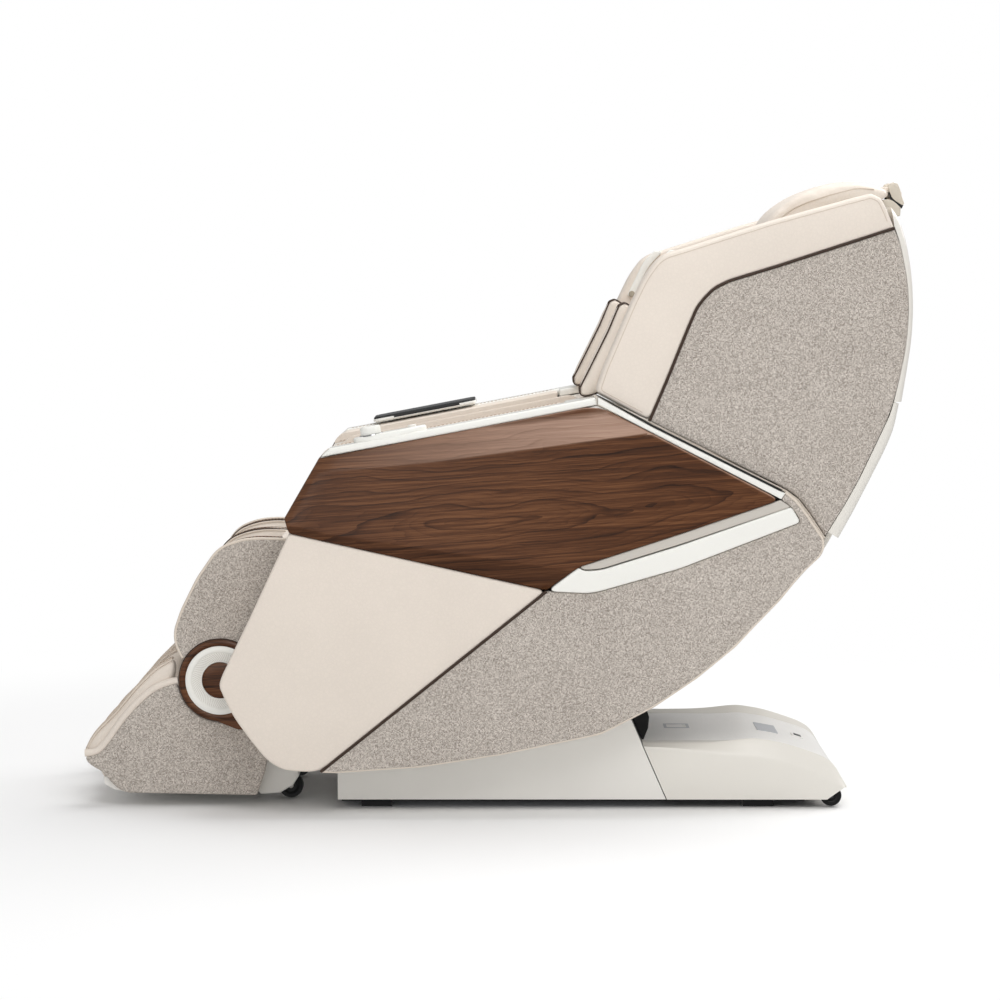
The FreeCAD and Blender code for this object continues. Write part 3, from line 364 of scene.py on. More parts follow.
@dataclass(frozen=True)
class Walnut:
    """Lacquered walnut with its grain along the chair."""

    name: str
    dark: Colour
    middle: Colour
    light: Colour
    # Colour of the painted highlight on faces that lean up
    pale: Colour
    slope: float = 4.0

    def material(self) -> bpy.types.Material:
        """Make the wood."""
        paint = Paint(self.name)
        x, y, z = paint.place()
        turn = math.radians(self.slope)
        along = x * math.cos(turn) + z * math.sin(turn)
        up = z * math.cos(turn) - x * math.sin(turn)
        drift = paint.noise(paint.point(along * 1.5, y * 0.3, up * 5.0), 1.0, 2.0)
        swirl = paint.noise(paint.point(along * 5.0, y * 0.3, up * 16.0), 1.0, 3.0)
        # The rings part round a heart, which gives the long pointed arches
        heart = paint.point((along - 0.03) * 0.13, 0.0, up - 0.6 + drift * 0.03)
        bow = paint.node("ShaderNodeVectorMath", {"operation": "LENGTH"}, {0: heart}).outputs["Value"]
        arch = Signal(paint, bow)
        rings = arch * 44.0 + drift * 7.0 + swirl * 1.8
        saw = paint.maths("FRACT", rings)
        line = saw ** 7.0
        minor = paint.maths("FRACT", rings * 3.0 + swirl * 2.0) ** 4.0
        streaks = paint.noise(paint.point(along * 5.0, y * 14.0, up * 240.0), 1.0, 3.0)
        fine = paint.noise(paint.point(along * 9.0, y * 30.0, up * 620.0), 1.0, 2.0)
        pores = paint.noise(paint.point(along * 26.0, y * 60.0, up * 1150.0), 1.0, 1.0)
        cloud = paint.noise(paint.point(along * 2.2, y, up * 6.0), 1.0, 2.0)
        pored = pores > 0.66
        tone = streaks * 0.42 + fine * 0.34 + cloud * 0.34 - line * 0.17 - minor * 0.07 - pored * 0.08
        stops = [(0.26, self.dark), (0.5, self.middle), (0.74, self.light)]
        # Faces that lean up get a painted highlight, the lamp's reflection in the lacquer, most of it
        # towards the rear; faces that lean down get painted shade
        tilt = paint.tilt()
        raised = paint.within(tilt * 4.4 - 0.1, 0.0, 1.0)
        painted_down_shade = paint.within(tilt * -4.0 - 0.1, 0.0, 1.0)
        towards_rear = paint.within(x * 1.5 + 0.55, 0.08, 0.85)
        grained = paint.blend(painted_down_shade * 0.25, paint.ramp(tone, stops), self.dark)
        painted_highlight = paint.blend(tone, self.light, self.pale)
        return paint.finish(
            Base_Color=paint.blend(raised * towards_rear, grained, painted_highlight),
            Roughness=0.24 + 0.12 * fine,
            Normal=paint.bump(fine * 0.6 - pored * 0.6, 0.16, 0.0003),
            Specular_IOR_Level=0.3,
        )


@dataclass(frozen=True)
class Moulded:
    """Moulded plastic, from matt to glossy."""

    name: str
    colour: Colour
    roughness: float
    texture: float = 0.08
    coat: float = 0.0

    def material(self) -> bpy.types.Material:
        """Make the plastic."""
        paint = Paint(self.name)
        where = paint.point(*paint.place())
        spark = paint.noise(where, 1400.0, 2.0)
        cloud = paint.noise(where, 6.0, 3.0)
        dark = tuple(level * 0.955 for level in self.colour)
        light = tuple(min(level * 1.02, 1.0) for level in self.colour)
        return paint.finish(
            Base_Color=paint.blend(cloud * 0.8 + spark * 0.2, dark, light),
            Roughness=self.roughness + 0.12 * (cloud - 0.5) + 0.08 * (spark - 0.5),
            Normal=paint.bump(spark, self.texture, 0.0003),
            Coat_Weight=self.coat,
        )


@dataclass(frozen=True)
class Metal:
    """Brushed or turned metal, or metallic lacquer."""

    name: str
    colour: Colour
    roughness: float
    metallic: float = 1.0
    brushed: float = 1.0

    def material(self) -> bpy.types.Material:
        """Make the metal."""
        paint = Paint(self.name)
        x, y, z = paint.place()
        lines = paint.noise(paint.point(x * 1100.0, y * 18.0, z * 1100.0), 1.0, 2.0)
        cloud = paint.noise(paint.point(x, y, z), 9.0, 3.0)
        dark = tuple(level * 0.82 for level in self.colour)
        return paint.finish(
            Base_Color=paint.blend(lines * 0.6 + cloud * 0.4, dark, self.colour),
            Metallic=self.metallic,
            Roughness=self.roughness + 0.16 * (lines - 0.5) * self.brushed + 0.1 * (cloud - 0.5),
            Normal=paint.bump(lines, 0.06 * self.brushed, 0.0002),
        )


@dataclass(frozen=True)
class Glass:
    """Dark glass of a screen, with a faint lit area."""

    name: str
    dark: Colour
    lit: Colour

    def material(self) -> bpy.types.Material:
        """Make the glass."""
        paint = Paint(self.name)
        where = paint.point(*paint.place())
        smear = paint.noise(where, 22.0, 3.0)
        return paint.finish(
            Base_Color=paint.blend(smear, self.dark, self.lit),
            Roughness=0.2 + 0.1 * smear,
            Specular_IOR_Level=0.3,
        )


class Finishes:
    """Every material of the chair, made once."""

    def __init__(self) -> None:
        """Make the materials."""
        cream = linear(233, 222, 210)
        self.leather = Leather("cream_leather", cream).material()
        # Darker cream leather, painted as the shade along seams and in folds
        self.painted_shade_leather = Leather("cream_leather_painted_shade", linear(212, 198, 183)).material()
        self.piping = Leather("brown_piping", linear(62, 43, 30), 0.4, 900.0).material()
        self.cream_piping = Leather("cream_piping", linear(226, 214, 200), 0.42, 900.0).material()
        self.thread = Moulded("sewing_thread", linear(168, 140, 116), 0.7, 0.5).material()
        yarns = (linear(226, 218, 209), linear(180, 171, 162), linear(124, 115, 107))
        self.tweed = Tweed("tweed", *yarns).material()
        # The last wood colour is the painted highlight of the lacquer on faces that lean up
        woods = (linear(40, 21, 10), linear(84, 49, 26), linear(128, 84, 52), linear(205, 172, 152))
        self.walnut = Walnut("walnut", *woods).material()
        self.white = Moulded("white_trim", linear(243, 242, 236), 0.28, 0.03, 0.2).material()
        # Darker white of the accent's recess: painted shade under the wood; the fins of the pivot rings
        # use it too
        self.recess = Moulded("strip_recess_shade", linear(205, 199, 190), 0.5).material()
        self.cream = Moulded("cream_plastic", linear(240, 237, 231), 0.38).material()
        self.shell = Moulded("shell_plastic", linear(233, 229, 221), 0.36, 0.05, 0.1).material()
        self.grey = Moulded("grey_plastic", linear(120, 118, 114), 0.5, 0.2).material()
        self.taupe = Moulded("taupe_plastic", linear(166, 157, 140), 0.35, 0.1).material()
        self.hanger = Moulded("hanger_plastic", linear(214, 205, 190), 0.36, 0.05).material()
        self.label = Moulded("label_film", linear(192, 194, 198), 0.35, 0.02).material()
        self.black = Moulded("black_plastic", linear(18, 19, 21), 0.42, 0.15).material()
        self.rubber = Moulded("black_rubber", linear(16, 17, 19), 0.62, 0.4).material()
        self.silver = Metal("silver_plate", linear(254, 252, 249), 0.4, 0.0).material()
        self.steel = Metal("frame_steel", linear(96, 98, 102), 0.5, 0.8, 0.4).material()
        self.bright = Metal("bright_steel", linear(205, 206, 208), 0.24).material()
        self.screen = Glass("screen_glass", linear(10, 12, 15), linear(22, 27, 34)).material()


# Outlines and meshes

# Smallest length that is divided by
TINY = 1e-12
# Share of a line that the arc at one of its ends may take up
ARC_SHARE = 0.49
# Angles in degrees from which an edge is sharp: on hard pieces, on crowned panels, on stuffed pads
CREASE = 38.0
PANEL_CREASE = 50.0
PAD_CREASE = 60.0
# Angles in degrees at which the rings of a panel's rim stand, and the share of their inset they keep
RIM_TURNS = (28, 52, 74, 90)
RING_KEPT = 0.93
# A panel's net as shares of its cell: border, rings behind the rim, rows, and gaps to rings and creases
BORDER_PITCH = 0.6
INNER_RINGS = (0.3, 0.8)
ROW_PITCH = 0.87
RING_GAP = 0.4
CREASE_GAP = 0.25
THINNEST = 0.4 * MM
# Rings of a pad's end, its net as shares of the pad's step, and the width over which it domes
END_RINGS = 6
END_PITCH = 1.4
END_GAP = 0.5
DOME_REACH = 30 * MM
# A stitch: places of its rings along it, points of a ring, and the share of its radius at its ends
STITCH_MARKS = (0.0, 0.25, 0.75, 1.0)
STITCH_SIDES = 5
STITCH_TIP = 0.45


class Outline:
    """Closed outline on a plane, in metres, run anticlockwise."""

    def __init__(self, points: Points | np.ndarray, unit: float = MM) -> None:
        """Keep the points, which are in millimetres unless unit says otherwise."""
        spots = np.asarray(points, float) * unit
        after = np.roll(spots, -1, axis=0)
        area = (spots[:, 0] * after[:, 1] - after[:, 0] * spots[:, 1]).sum()
        self.points = spots if area > 0 else spots[::-1]

    def rounded(
        self, radius: float, soft: float = 0.4, sharp: float = 28.0, steps: int = 5
    ) -> "Outline":
        """Round the corners with arcs.

        Args:
            radius: radius of a real corner, in metres.
            soft: radius where the outline only bends a little.
            sharp: turn in degrees from which a bend counts as a corner.
            steps: parts of each arc.

        Returns:
            The rounded outline.
        """
        made = []
        before = np.roll(self.points, 1, axis=0)
        after = np.roll(self.points, -1, axis=0)
        for behind, corner, ahead in zip(before, self.points, after):
            made.extend(bend(behind, corner, ahead, radius, soft, sharp, steps))
        return Outline(np.array(made), 1.0)

    def sampled(self, spacing: float) -> "Outline":
        """The outline with points no further apart than spacing."""
        return Outline(spaced(np.vstack([self.points, self.points[:1]]), spacing)[:-1], 1.0)

    def inset(self, distance: float) -> "Outline":
        """The outline drawn in by a distance."""
        before = self.points - np.roll(self.points, 1, axis=0)
        after = np.roll(self.points, -1, axis=0) - self.points
        both = leftward(before) + leftward(after)
        reach = 2 / np.maximum((both**2).sum(1), 0.8)
        made = Outline.__new__(Outline)
        made.points = self.points + both * (reach * distance)[:, None]
        return made

    def distance(self, spots: np.ndarray) -> np.ndarray:
        """Distance of each spot to the outline."""
        nearest = np.full(len(spots), np.inf)
        for start, end in zip(self.points, np.roll(self.points, -1, axis=0)):
            nearest = np.minimum(nearest, line_distance(spots, start, end))
        return nearest

    def holds(self, spots: np.ndarray) -> np.ndarray:
        """True for each spot inside the outline."""
        inside = np.zeros(len(spots), bool)
        for start, end in zip(self.points, np.roll(self.points, -1, axis=0)):
            crosses = (start[1] > spots[:, 1]) != (end[1] > spots[:, 1])
            rise = end[1] - start[1] if end[1] != start[1] else TINY
            at = (end[0] - start[0]) * (spots[:, 1] - start[1]) / rise + start[0]
            inside ^= crosses & (spots[:, 0] < at)
        return inside


def lengths(ways: np.ndarray) -> np.ndarray:
    """Length of each vector, never quite zero."""
    return np.maximum(np.linalg.norm(ways, axis=1), TINY)


def round_turn(count: int) -> np.ndarray:
    """Angles of as many points, set evenly round a circle."""
    return np.linspace(0, 2 * math.pi, count, endpoint=False)


def leftward(ways: np.ndarray) -> np.ndarray:
    """Unit vectors that point to the left of plane vectors."""
    return np.column_stack([-ways[:, 1], ways[:, 0]]) / lengths(ways)[:, None]


def at_level(plane: np.ndarray, y: float) -> np.ndarray:
    """Points of a side view, put into the chair's frame at one y."""
    return np.column_stack([plane[:, 0], np.full(len(plane), y), plane[:, 1]])


def bend(
    behind: np.ndarray,
    corner: np.ndarray,
    ahead: np.ndarray,
    radius: float,
    soft: float,
    sharp: float,
    steps: int,
) -> list[np.ndarray]:
    """Arc that takes the place of one corner.

    Args:
        behind: point before the corner.
        corner: the corner.
        ahead: point after it.
        radius: radius of a real corner, in metres.
        soft: radius where the line only bends a little.
        sharp: turn in degrees from which a bend counts as a corner.
        steps: parts of the arc.

    Returns:
        The arc's points, or the corner alone where there is no room.
    """
    back, on = behind - corner, ahead - corner
    room = ARC_SHARE * min(np.linalg.norm(back), np.linalg.norm(on))
    back, on = back / np.linalg.norm(back), on / np.linalg.norm(on)
    turn = math.pi - math.acos(float(np.clip(back @ on, -1, 1)))
    wanted = radius if math.degrees(turn) > sharp else soft
    reach = min(room, wanted * math.tan(turn / 2))
    if reach < 1e-5:
        return [corner]
    start, end = corner + back * reach, corner + on * reach
    shares = np.linspace(0, 1, steps + 1)
    return [(1 - s) ** 2 * start + 2 * s * (1 - s) * corner + s**2 * end for s in shares]


def line_distance(spots: np.ndarray, start: np.ndarray, end: np.ndarray) -> np.ndarray:
    """Distance of each spot to a straight line between two points."""
    way = end - start
    share = np.clip((spots - start) @ way / max(float(way @ way), TINY), 0, 1)
    return np.linalg.norm(spots - start - share[:, None] * way, axis=1)


def path_distance(spots: np.ndarray, path: np.ndarray) -> np.ndarray:
    """Distance of each spot to an open path."""
    return np.min([line_distance(spots, a, b) for a, b in zip(path, path[1:])], axis=0)


def spaced(path: np.ndarray, spacing: float) -> np.ndarray:
    """An open path with extra points, so that none are further apart than spacing."""
    made = [path[:1]]
    for start, end in zip(path, path[1:]):
        count = max(1, math.ceil(float(np.linalg.norm(end - start)) / spacing))
        made.append(start + (end - start) * (np.arange(1, count + 1) / count)[:, None])
    return np.vstack(made)


def curved(points: Points, radius: float, spacing: float = 6 * MM, unit: float = MM) -> np.ndarray:
    """An open path in metres with rounded bends.

    Args:
        points: corners of the path.
        radius: radius of the bends, in metres.
        spacing: largest gap between two points.
        unit: size of the points' unit in metres.

    Returns:
        The path's points, one row each.
    """
    corners = np.asarray(points, float) * unit
    made = [corners[0]]
    for before, corner, after in zip(corners, corners[1:], corners[2:]):
        made.extend(bend(before, corner, after, radius, radius, 0.0, 6))
    made.append(corners[-1])
    return spaced(np.array(made), spacing)


def filled(border: np.ndarray, inner: np.ndarray) -> tuple[np.ndarray, list[list[int]]]:
    """Triangles that fill a closed border through given inner points.

    Args:
        border: the border's points, in order.
        inner: more points inside it.

    Returns:
        The points, border first, and the triangles.
    """
    spots = [Vector(p) for p in np.vstack([border, inner])]
    count = len(border)
    edges = [(i, (i + 1) % count) for i in range(count)]
    points, _, faces, origins, _, _ = delaunay_2d_cdt(spots, edges, [], 1, 1e-7)
    made = np.array([tuple(p) for p in points])
    order = {}
    for index, source in enumerate(origins):
        for first in source:
            if first < count:
                order[first] = index
    kept = [order[i] for i in range(count)]
    rest = sorted(set(range(len(made))) - set(kept))
    place = {old: new for new, old in enumerate(kept + rest)}
    return made[kept + rest], [[place[i] for i in face] for face in faces]


class Form:
    """Points and faces of one piece while it is made."""

    def __init__(self) -> None:
        """Start with nothing."""
        self.points: list[tuple[float, float, float]] = []
        self.faces: list[Sequence[int]] = []

    def add(self, points: np.ndarray) -> np.ndarray:
        """Add points and return their numbers."""
        start = len(self.points)
        self.points.extend(map(tuple, np.asarray(points, float)))
        return np.arange(start, len(self.points))

    def bridge(self, first: np.ndarray, second: np.ndarray, closed: bool = True) -> None:
        """Join two rings or rows of as many points with quads."""
        count = len(first)
        for index in range(count if closed else count - 1):
            after = (index + 1) % count
            self.faces.append((first[index], first[after], second[after], second[index]))

    def fan(self, ring: np.ndarray) -> None:
        """Close a ring with one face."""
        self.faces.append(tuple(ring))

    def loft(self, rings: Iterable[np.ndarray], looped: bool = False) -> "Form":
        """Skin a row of closed rings.

        Args:
            rings: rings of as many points each.
            looped: True to join the last ring to the first, instead of a face at each end.

        Returns:
            This form.
        """
        numbers = [self.add(ring) for ring in rings]
        for first, second in zip(numbers, numbers[1:]):
            self.bridge(first, second)
        if looped:
            self.bridge(numbers[-1], numbers[0])
        else:
            self.fan(numbers[0][::-1])
            self.fan(numbers[-1])
        return self

    def join(self, other: "Form") -> "Form":
        """Take in another form and return this one."""
        start = len(self.points)
        self.points.extend(other.points)
        self.faces.extend(tuple(i + start for i in face) for face in other.faces)
        return self

    def moved(self, move: Callable[[np.ndarray], np.ndarray]) -> "Form":
        """Send every point through a function."""
        self.points = list(map(tuple, move(np.array(self.points))))
        return self

    def place(
        self,
        name: str,
        material: bpy.types.Material,
        body: Body,
        slot: Slot,
        replaces: Iterable[str] = (),
        crease: float = CREASE,
    ) -> bpy.types.Object:
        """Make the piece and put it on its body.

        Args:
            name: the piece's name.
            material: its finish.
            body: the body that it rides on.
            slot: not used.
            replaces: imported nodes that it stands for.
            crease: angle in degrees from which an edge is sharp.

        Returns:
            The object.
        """
        piece = self.loose(name, material, crease)
        return settle(piece, body, replaces)

    def loose(
        self, name: str, material: bpy.types.Material, crease: float = CREASE
    ) -> bpy.types.Object:
        """Make the object, on no body yet."""
        mesh = bpy.data.meshes.new(name)
        mesh.from_pydata(self.points, [], self.faces)
        dress(mesh, material, crease)
        piece = bpy.data.objects.new(name, mesh)
        bpy.context.scene.collection.objects.link(piece)
        return piece


def dress(mesh: bpy.types.Mesh, material: bpy.types.Material, crease: float) -> None:
    """Turn a mesh's faces outwards, shade it and give it its finish."""
    work = bmesh.new()
    work.from_mesh(mesh)
    bmesh.ops.remove_doubles(work, verts=work.verts, dist=1e-6)
    bmesh.ops.recalc_face_normals(work, faces=work.faces)
    for face in work.faces:
        face.smooth = True
    limit = math.radians(crease)
    for edge in work.edges:
        edge.smooth = not (edge.is_manifold and edge.calc_face_angle(0.0) > limit)
    work.to_mesh(mesh)
    work.free()
    mesh.materials.clear()
    mesh.materials.append(material)


def settle(
    piece: bpy.types.Object, body: Body, replaces: Iterable[str] = ()
) -> bpy.types.Object:
    """Put a finished object on its body and report it."""
    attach(piece, body.value)
    for node in replaces:
        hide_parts(node)
    log.info("%s: %d faces on %s", piece.name, len(piece.data.polygons), body.value)
    return piece


Mapping = Callable[[np.ndarray, np.ndarray], np.ndarray]


def on_side(side: float, start: float = 0.0, way: float = 1.0) -> Mapping:
    """Mapping of a side outline into the chair's frame.

    Args:
        side: sign of the side's y.
        start: distance from the middle at which the heights begin.
        way: 1 for heights that run outwards, -1 for heights that run inwards.

    Returns:
        Function of plane points and heights.
    """
    return lambda plane, height: np.column_stack(
        [plane[:, 0], side * (start + way * height), plane[:, 1]])


def on_arm(x: float, y: float, z: float, slope: float) -> Mapping:
    """Mapping of a plan view onto a slope that rises towards the back at slope radians."""

    def put(plane: np.ndarray, height: np.ndarray) -> np.ndarray:
        """Lay plane points with their heights on the slope."""
        along, up = plane[:, 0], height
        return np.column_stack([
            x + along * math.cos(slope) - up * math.sin(slope),
            y + plane[:, 1],
            z + along * math.sin(slope) + up * math.cos(slope),
        ])

    return put


@dataclass
class Panel:
    """Panel with a rounded rim, flat or crowned on its outer face."""

    outline: Outline
    inner: float
    outer: float
    rim: float = 3 * MM
    crown: float = 0.0
    reach: float = 70 * MM
    cell: float = 18 * MM
    relief: Callable[[np.ndarray], np.ndarray] | None = None
    extra: np.ndarray = field(default_factory=lambda: np.zeros((0, 2)))

    def height(self, spots: np.ndarray) -> np.ndarray:
        """Height of the outer face over each spot."""
        away = self.outline.distance(spots)
        near = 1 - np.minimum(away / self.rim, 1)
        inland = np.minimum(away / self.reach, 1)
        rise = self.rim * np.sqrt(1 - near**2) + self.crown * (1 - (1 - inland) ** 2)
        made = self.outer - self.rim + rise
        if self.relief is not None:
            made = made - self.relief(spots)
        return np.maximum(made, self.inner + THINNEST)

    def form(self, put: Mapping) -> Form:
        """Make the panel.

        Args:
            put: mapping of plane points and heights into the chair's frame.

        Returns:
            The closed form.
        """
        border = self.outline.sampled(self.cell * BORDER_PITCH)
        self.outline = border
        spots = [self.extra]
        steps = [self.rim * (1 - math.cos(math.radians(turn))) for turn in RIM_TURNS]
        steps += [self.rim + self.cell * share for share in INNER_RINGS]
        for step in steps:
            ring = border.inset(step).points
            spots.append(ring[border.distance(ring) > step * RING_KEPT])
        low, high = border.points.min(0), border.points.max(0)
        columns = np.arange(low[0], high[0], self.cell)
        rows = np.arange(low[1], high[1], self.cell * ROW_PITCH)
        shifts = [(z, index % 2 * self.cell / 2) for index, z in enumerate(rows)]
        grid = np.array([(x + shift, z) for z, shift in shifts for x in columns])
        spots.append(grid[border.distance(grid) > steps[-1] + self.cell * RING_GAP])
        inner = np.vstack([some for some in spots if len(some)])
        inner = inner[border.holds(inner)]
        if len(self.extra):
            apart = np.array([np.min(lengths(self.extra - p)) for p in inner])
            inner = inner[(apart < 1e-9) | (apart > self.cell * CREASE_GAP)]
        plane, triangles = filled(border.points, inner)
        made = Form()
        top = made.add(put(plane, self.height(plane)))
        made.faces.extend([top[i] for i in face] for face in triangles)
        count = len(border.points)
        foot = made.add(put(border.points, np.full(count, self.inner)))
        made.bridge(foot, top[:count])
        made.fan(foot[::-1])
        return made

    def over(self, path: np.ndarray, above: float, put: Mapping) -> np.ndarray:
        """A path laid on the panel's outer face, a little above it."""
        return put(path, self.height(path) + above)


@dataclass
class Pad:
    """Stuffed pad: a side outline carried across the chair and drawn in at both ends."""

    outline: Outline
    low: float
    high: float
    draw: float = 10 * MM
    edge: float = 24 * MM
    dome: float = 0.0
    step: float = 12 * MM

    def form(self) -> Form:
        """Make the pad as a closed form."""
        border = self.outline.sampled(self.step)
        half = (self.high - self.low) / 2
        edge = min(self.edge, half)
        turns = np.radians(np.linspace(0, 90, END_RINGS))
        ends = [(edge * (1 - math.sin(t)), self.draw * (1 - math.cos(t))) for t in turns[::-1]]
        count = max(2, int((2 * half - 2 * edge) / self.step) + 1)
        flat = np.linspace(edge, 2 * half - edge, count)
        far_ends = [(2 * half - at, drawn) for at, drawn in ends[::-1]]
        spans = ends + [(at, 0.0) for at in flat[1:-1]] + far_ends
        if half - edge < 1e-6:
            spans = ends + far_ends[1:]
        made = Form()
        rings = [made.add(at_level(border.inset(drawn).points, self.low + at)) for at, drawn in spans]
        for first, second in zip(rings, rings[1:]):
            made.bridge(first, second)
        for ring, way, level in ((rings[0], -1.0, self.low), (rings[-1], 1.0, self.high)):
            self._close(made, ring, way, level)
        return made

    def _close(self, made: Form, ring: np.ndarray, way: float, level: float) -> None:
        """Close one end with a slightly domed face."""
        rim = np.array([made.points[i] for i in ring])[:, [0, 2]]
        end = Outline(rim, 1.0)
        low, high = rim.min(0), rim.max(0)
        cell = self.step * END_PITCH
        rows, columns = (np.arange(low[axis], high[axis], cell) for axis in (1, 0))
        grid = np.array([(x, z) for z in rows for x in columns])
        grid = grid[end.holds(grid)] if len(grid) else np.zeros((0, 2))
        grid = grid[end.distance(grid) > cell * END_GAP] if len(grid) else np.zeros((0, 2))
        plane, triangles = filled(rim, grid)
        away = end.distance(plane)
        lift = self.dome * (1 - (1 - np.minimum(away / DOME_REACH, 1)) ** 2)
        inner = made.add(np.column_stack([plane[:, 0], level + way * lift, plane[:, 1]])[len(rim):])
        numbers = np.concatenate([ring, inner])
        made.faces.extend([numbers[i] for i in face] for face in triangles)


def tube(
    path: np.ndarray, radius: float, sides: int = 8, closed: bool = False, taper: bool = False
) -> Form:
    """Round tube along a path.

    Args:
        path: points in the chair's frame, one row each.
        radius: radius of the tube.
        sides: points of each ring.
        closed: True where the path's end meets its start.
        taper: True to draw both ends to a point, as on a stitch.

    Returns:
        The closed form.
    """
    ahead = np.roll(path, -1, axis=0) - path
    behind = path - np.roll(path, 1, axis=0)
    if not closed:
        ahead[-1], behind[0] = behind[-1], ahead[0]
    ways = ahead / lengths(ahead)[:, None] + behind / lengths(behind)[:, None]
    ways /= lengths(ways)[:, None]
    across = np.cross(ways[0], (0.0, 1.0, 0.0))
    if np.linalg.norm(across) < 0.1:
        across = np.cross(ways[0], (0.0, 0.0, 1.0))
    turns = round_turn(sides)
    rings = []
    for index, (spot, way) in enumerate(zip(path, ways)):
        across = across - way * (across @ way)
        across /= np.linalg.norm(across)
        up = np.cross(way, across)
        wide = radius * (STITCH_TIP if taper and index in (0, len(path) - 1) else 1.0)
        rings.append(spot + wide * (np.cos(turns)[:, None] * across + np.sin(turns)[:, None] * up))
    return Form().loft(rings, closed)


def stitches(
    path: np.ndarray, pitch: float = 8 * MM, length: float = 5 * MM, radius: float = 0.55 * MM
) -> Form:
    """Row of stitches along a path that lies on a surface."""
    steps = lengths(np.diff(path, axis=0))
    along = np.concatenate([[0.0], np.cumsum(steps)])
    made = Form()
    for start in np.arange(pitch / 2, along[-1] - length, pitch):
        marks = start + length * np.array(STITCH_MARKS)
        spots = np.column_stack([np.interp(marks, along, path[:, axis]) for axis in range(3)])
        made.join(tube(spots, radius, STITCH_SIDES, taper=True))
    return made


def lathe(profile: Points, steps: int = 64, unit: float = MM) -> Form:
    """Form turned round the Z axis from (radius, height) points that start and end on the axis."""
    spots = np.asarray(profile, float) * unit
    turns = round_turn(steps)
    made = Form()
    rings = []
    for radius, height in spots:
        x, y = radius * np.cos(turns), radius * np.sin(turns)
        ring = np.column_stack([x, y, np.full(steps, height)])
        if radius < 1e-7:
            ring = np.array([(0.0, 0.0, height)])
        rings.append(made.add(ring))
    for first, second in zip(rings, rings[1:]):
        if len(first) == 1 and len(second) == 1:
            continue
        if len(first) == 1 or len(second) == 1:
            tip, ring = (first[0], second) if len(first) == 1 else (second[0], first)
            for index in range(steps):
                made.faces.append((tip, ring[index], ring[(index + 1) % steps]))
        else:
            made.bridge(first, second)
    return made


def turned_to_side(side: float, x: float, z: float, y: float) -> Callable[[np.ndarray], np.ndarray]:
    """Move that lays a turned form's axis across the chair, its top facing outwards."""
    return lambda p: np.column_stack([x + p[:, 0], side * (y + p[:, 2]), z + p[:, 1]])


@dataclass(frozen=True)
class Stuffing:
    """Cloth simulation that swells a cover over its filling between held seams."""

    voxel: float = 6 * MM
    pressure: float = 4.0
    limit: float = 8 * MM
    frames: int = 20
    quality: int = 5
    smoothing: int = 3
    quick_coarser: float = 2.0
    grades: int = 10

    def fill(self, piece: bpy.types.Object, held: Callable[[np.ndarray], np.ndarray]) -> None:
        """Swell a loose piece in place.

        Args:
            piece: closed mesh object at the origin, on no body yet.
            held: share of 0 to 1 by which each point is held.
        """
        material = piece.data.materials[0]
        remesh = piece.modifiers.new("remesh", "REMESH")
        remesh.mode = "VOXEL"
        remesh.voxel_size = self.voxel * 1.0
        self._bake(piece)
        start = self._spots(piece.data)
        self._simulate(piece, held(start))
        moved = self._spots(piece.data) - start
        size = lengths(moved)
        start = start + moved * np.minimum(1, self.limit / size)[:, None]
        piece.data.vertices.foreach_set("co", start.astype(np.float32).ravel())
        smooth = piece.modifiers.new("smooth", "SMOOTH")
        smooth.iterations = self.smoothing
        divide = piece.modifiers.new("divide", "SUBSURF")
        divide.levels = 1
        divide.render_levels = 1
        self._bake(piece)
        dress(piece.data, material, PAD_CREASE)

    def _simulate(self, piece: bpy.types.Object, weights: np.ndarray) -> None:
        """Run the cloth and write its last frame into the mesh."""
        group = piece.vertex_groups.new(name="held")
        for level in range(1, self.grades + 1):
            chosen = np.nonzero(np.round(weights * self.grades) == level)[0]
            if len(chosen):
                group.add(chosen.tolist(), level / self.grades, "REPLACE")
        cloth = piece.modifiers.new("cloth", "CLOTH")
        settings = cloth.settings
        settings.use_pressure = True
        settings.uniform_pressure_force = self.pressure
        settings.vertex_group_mass = "held"
        settings.effector_weights.gravity = 0.0
        settings.quality = self.quality
        scene = bpy.context.scene
        for frame_number in range(1, self.frames + 1):
            scene.frame_set(frame_number)
        self._bake(piece)
        scene.frame_set(1)

    def _bake(self, piece: bpy.types.Object) -> None:
        """Turn what the modifiers make into the piece's own mesh."""
        graph = bpy.context.evaluated_depsgraph_get()
        mesh = bpy.data.meshes.new_from_object(piece.evaluated_get(graph))
        piece.modifiers.clear()
        piece.data = mesh

    def _spots(self, mesh: bpy.types.Mesh) -> np.ndarray:
        """The mesh's points, one row each."""
        spots = np.zeros(len(mesh.vertices) * 3, np.float32)
        mesh.vertices.foreach_get("co", spots)
        return spots.reshape(-1, 3).astype(float)


# Sub-assemblies


def node_face(node: str, axis: str, far: bool) -> float:
    """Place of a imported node's lowest or highest face along an axis, as a distance from the middle."""
    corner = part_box(node)[1 if far else 0]
    return abs(getattr(corner, axis))


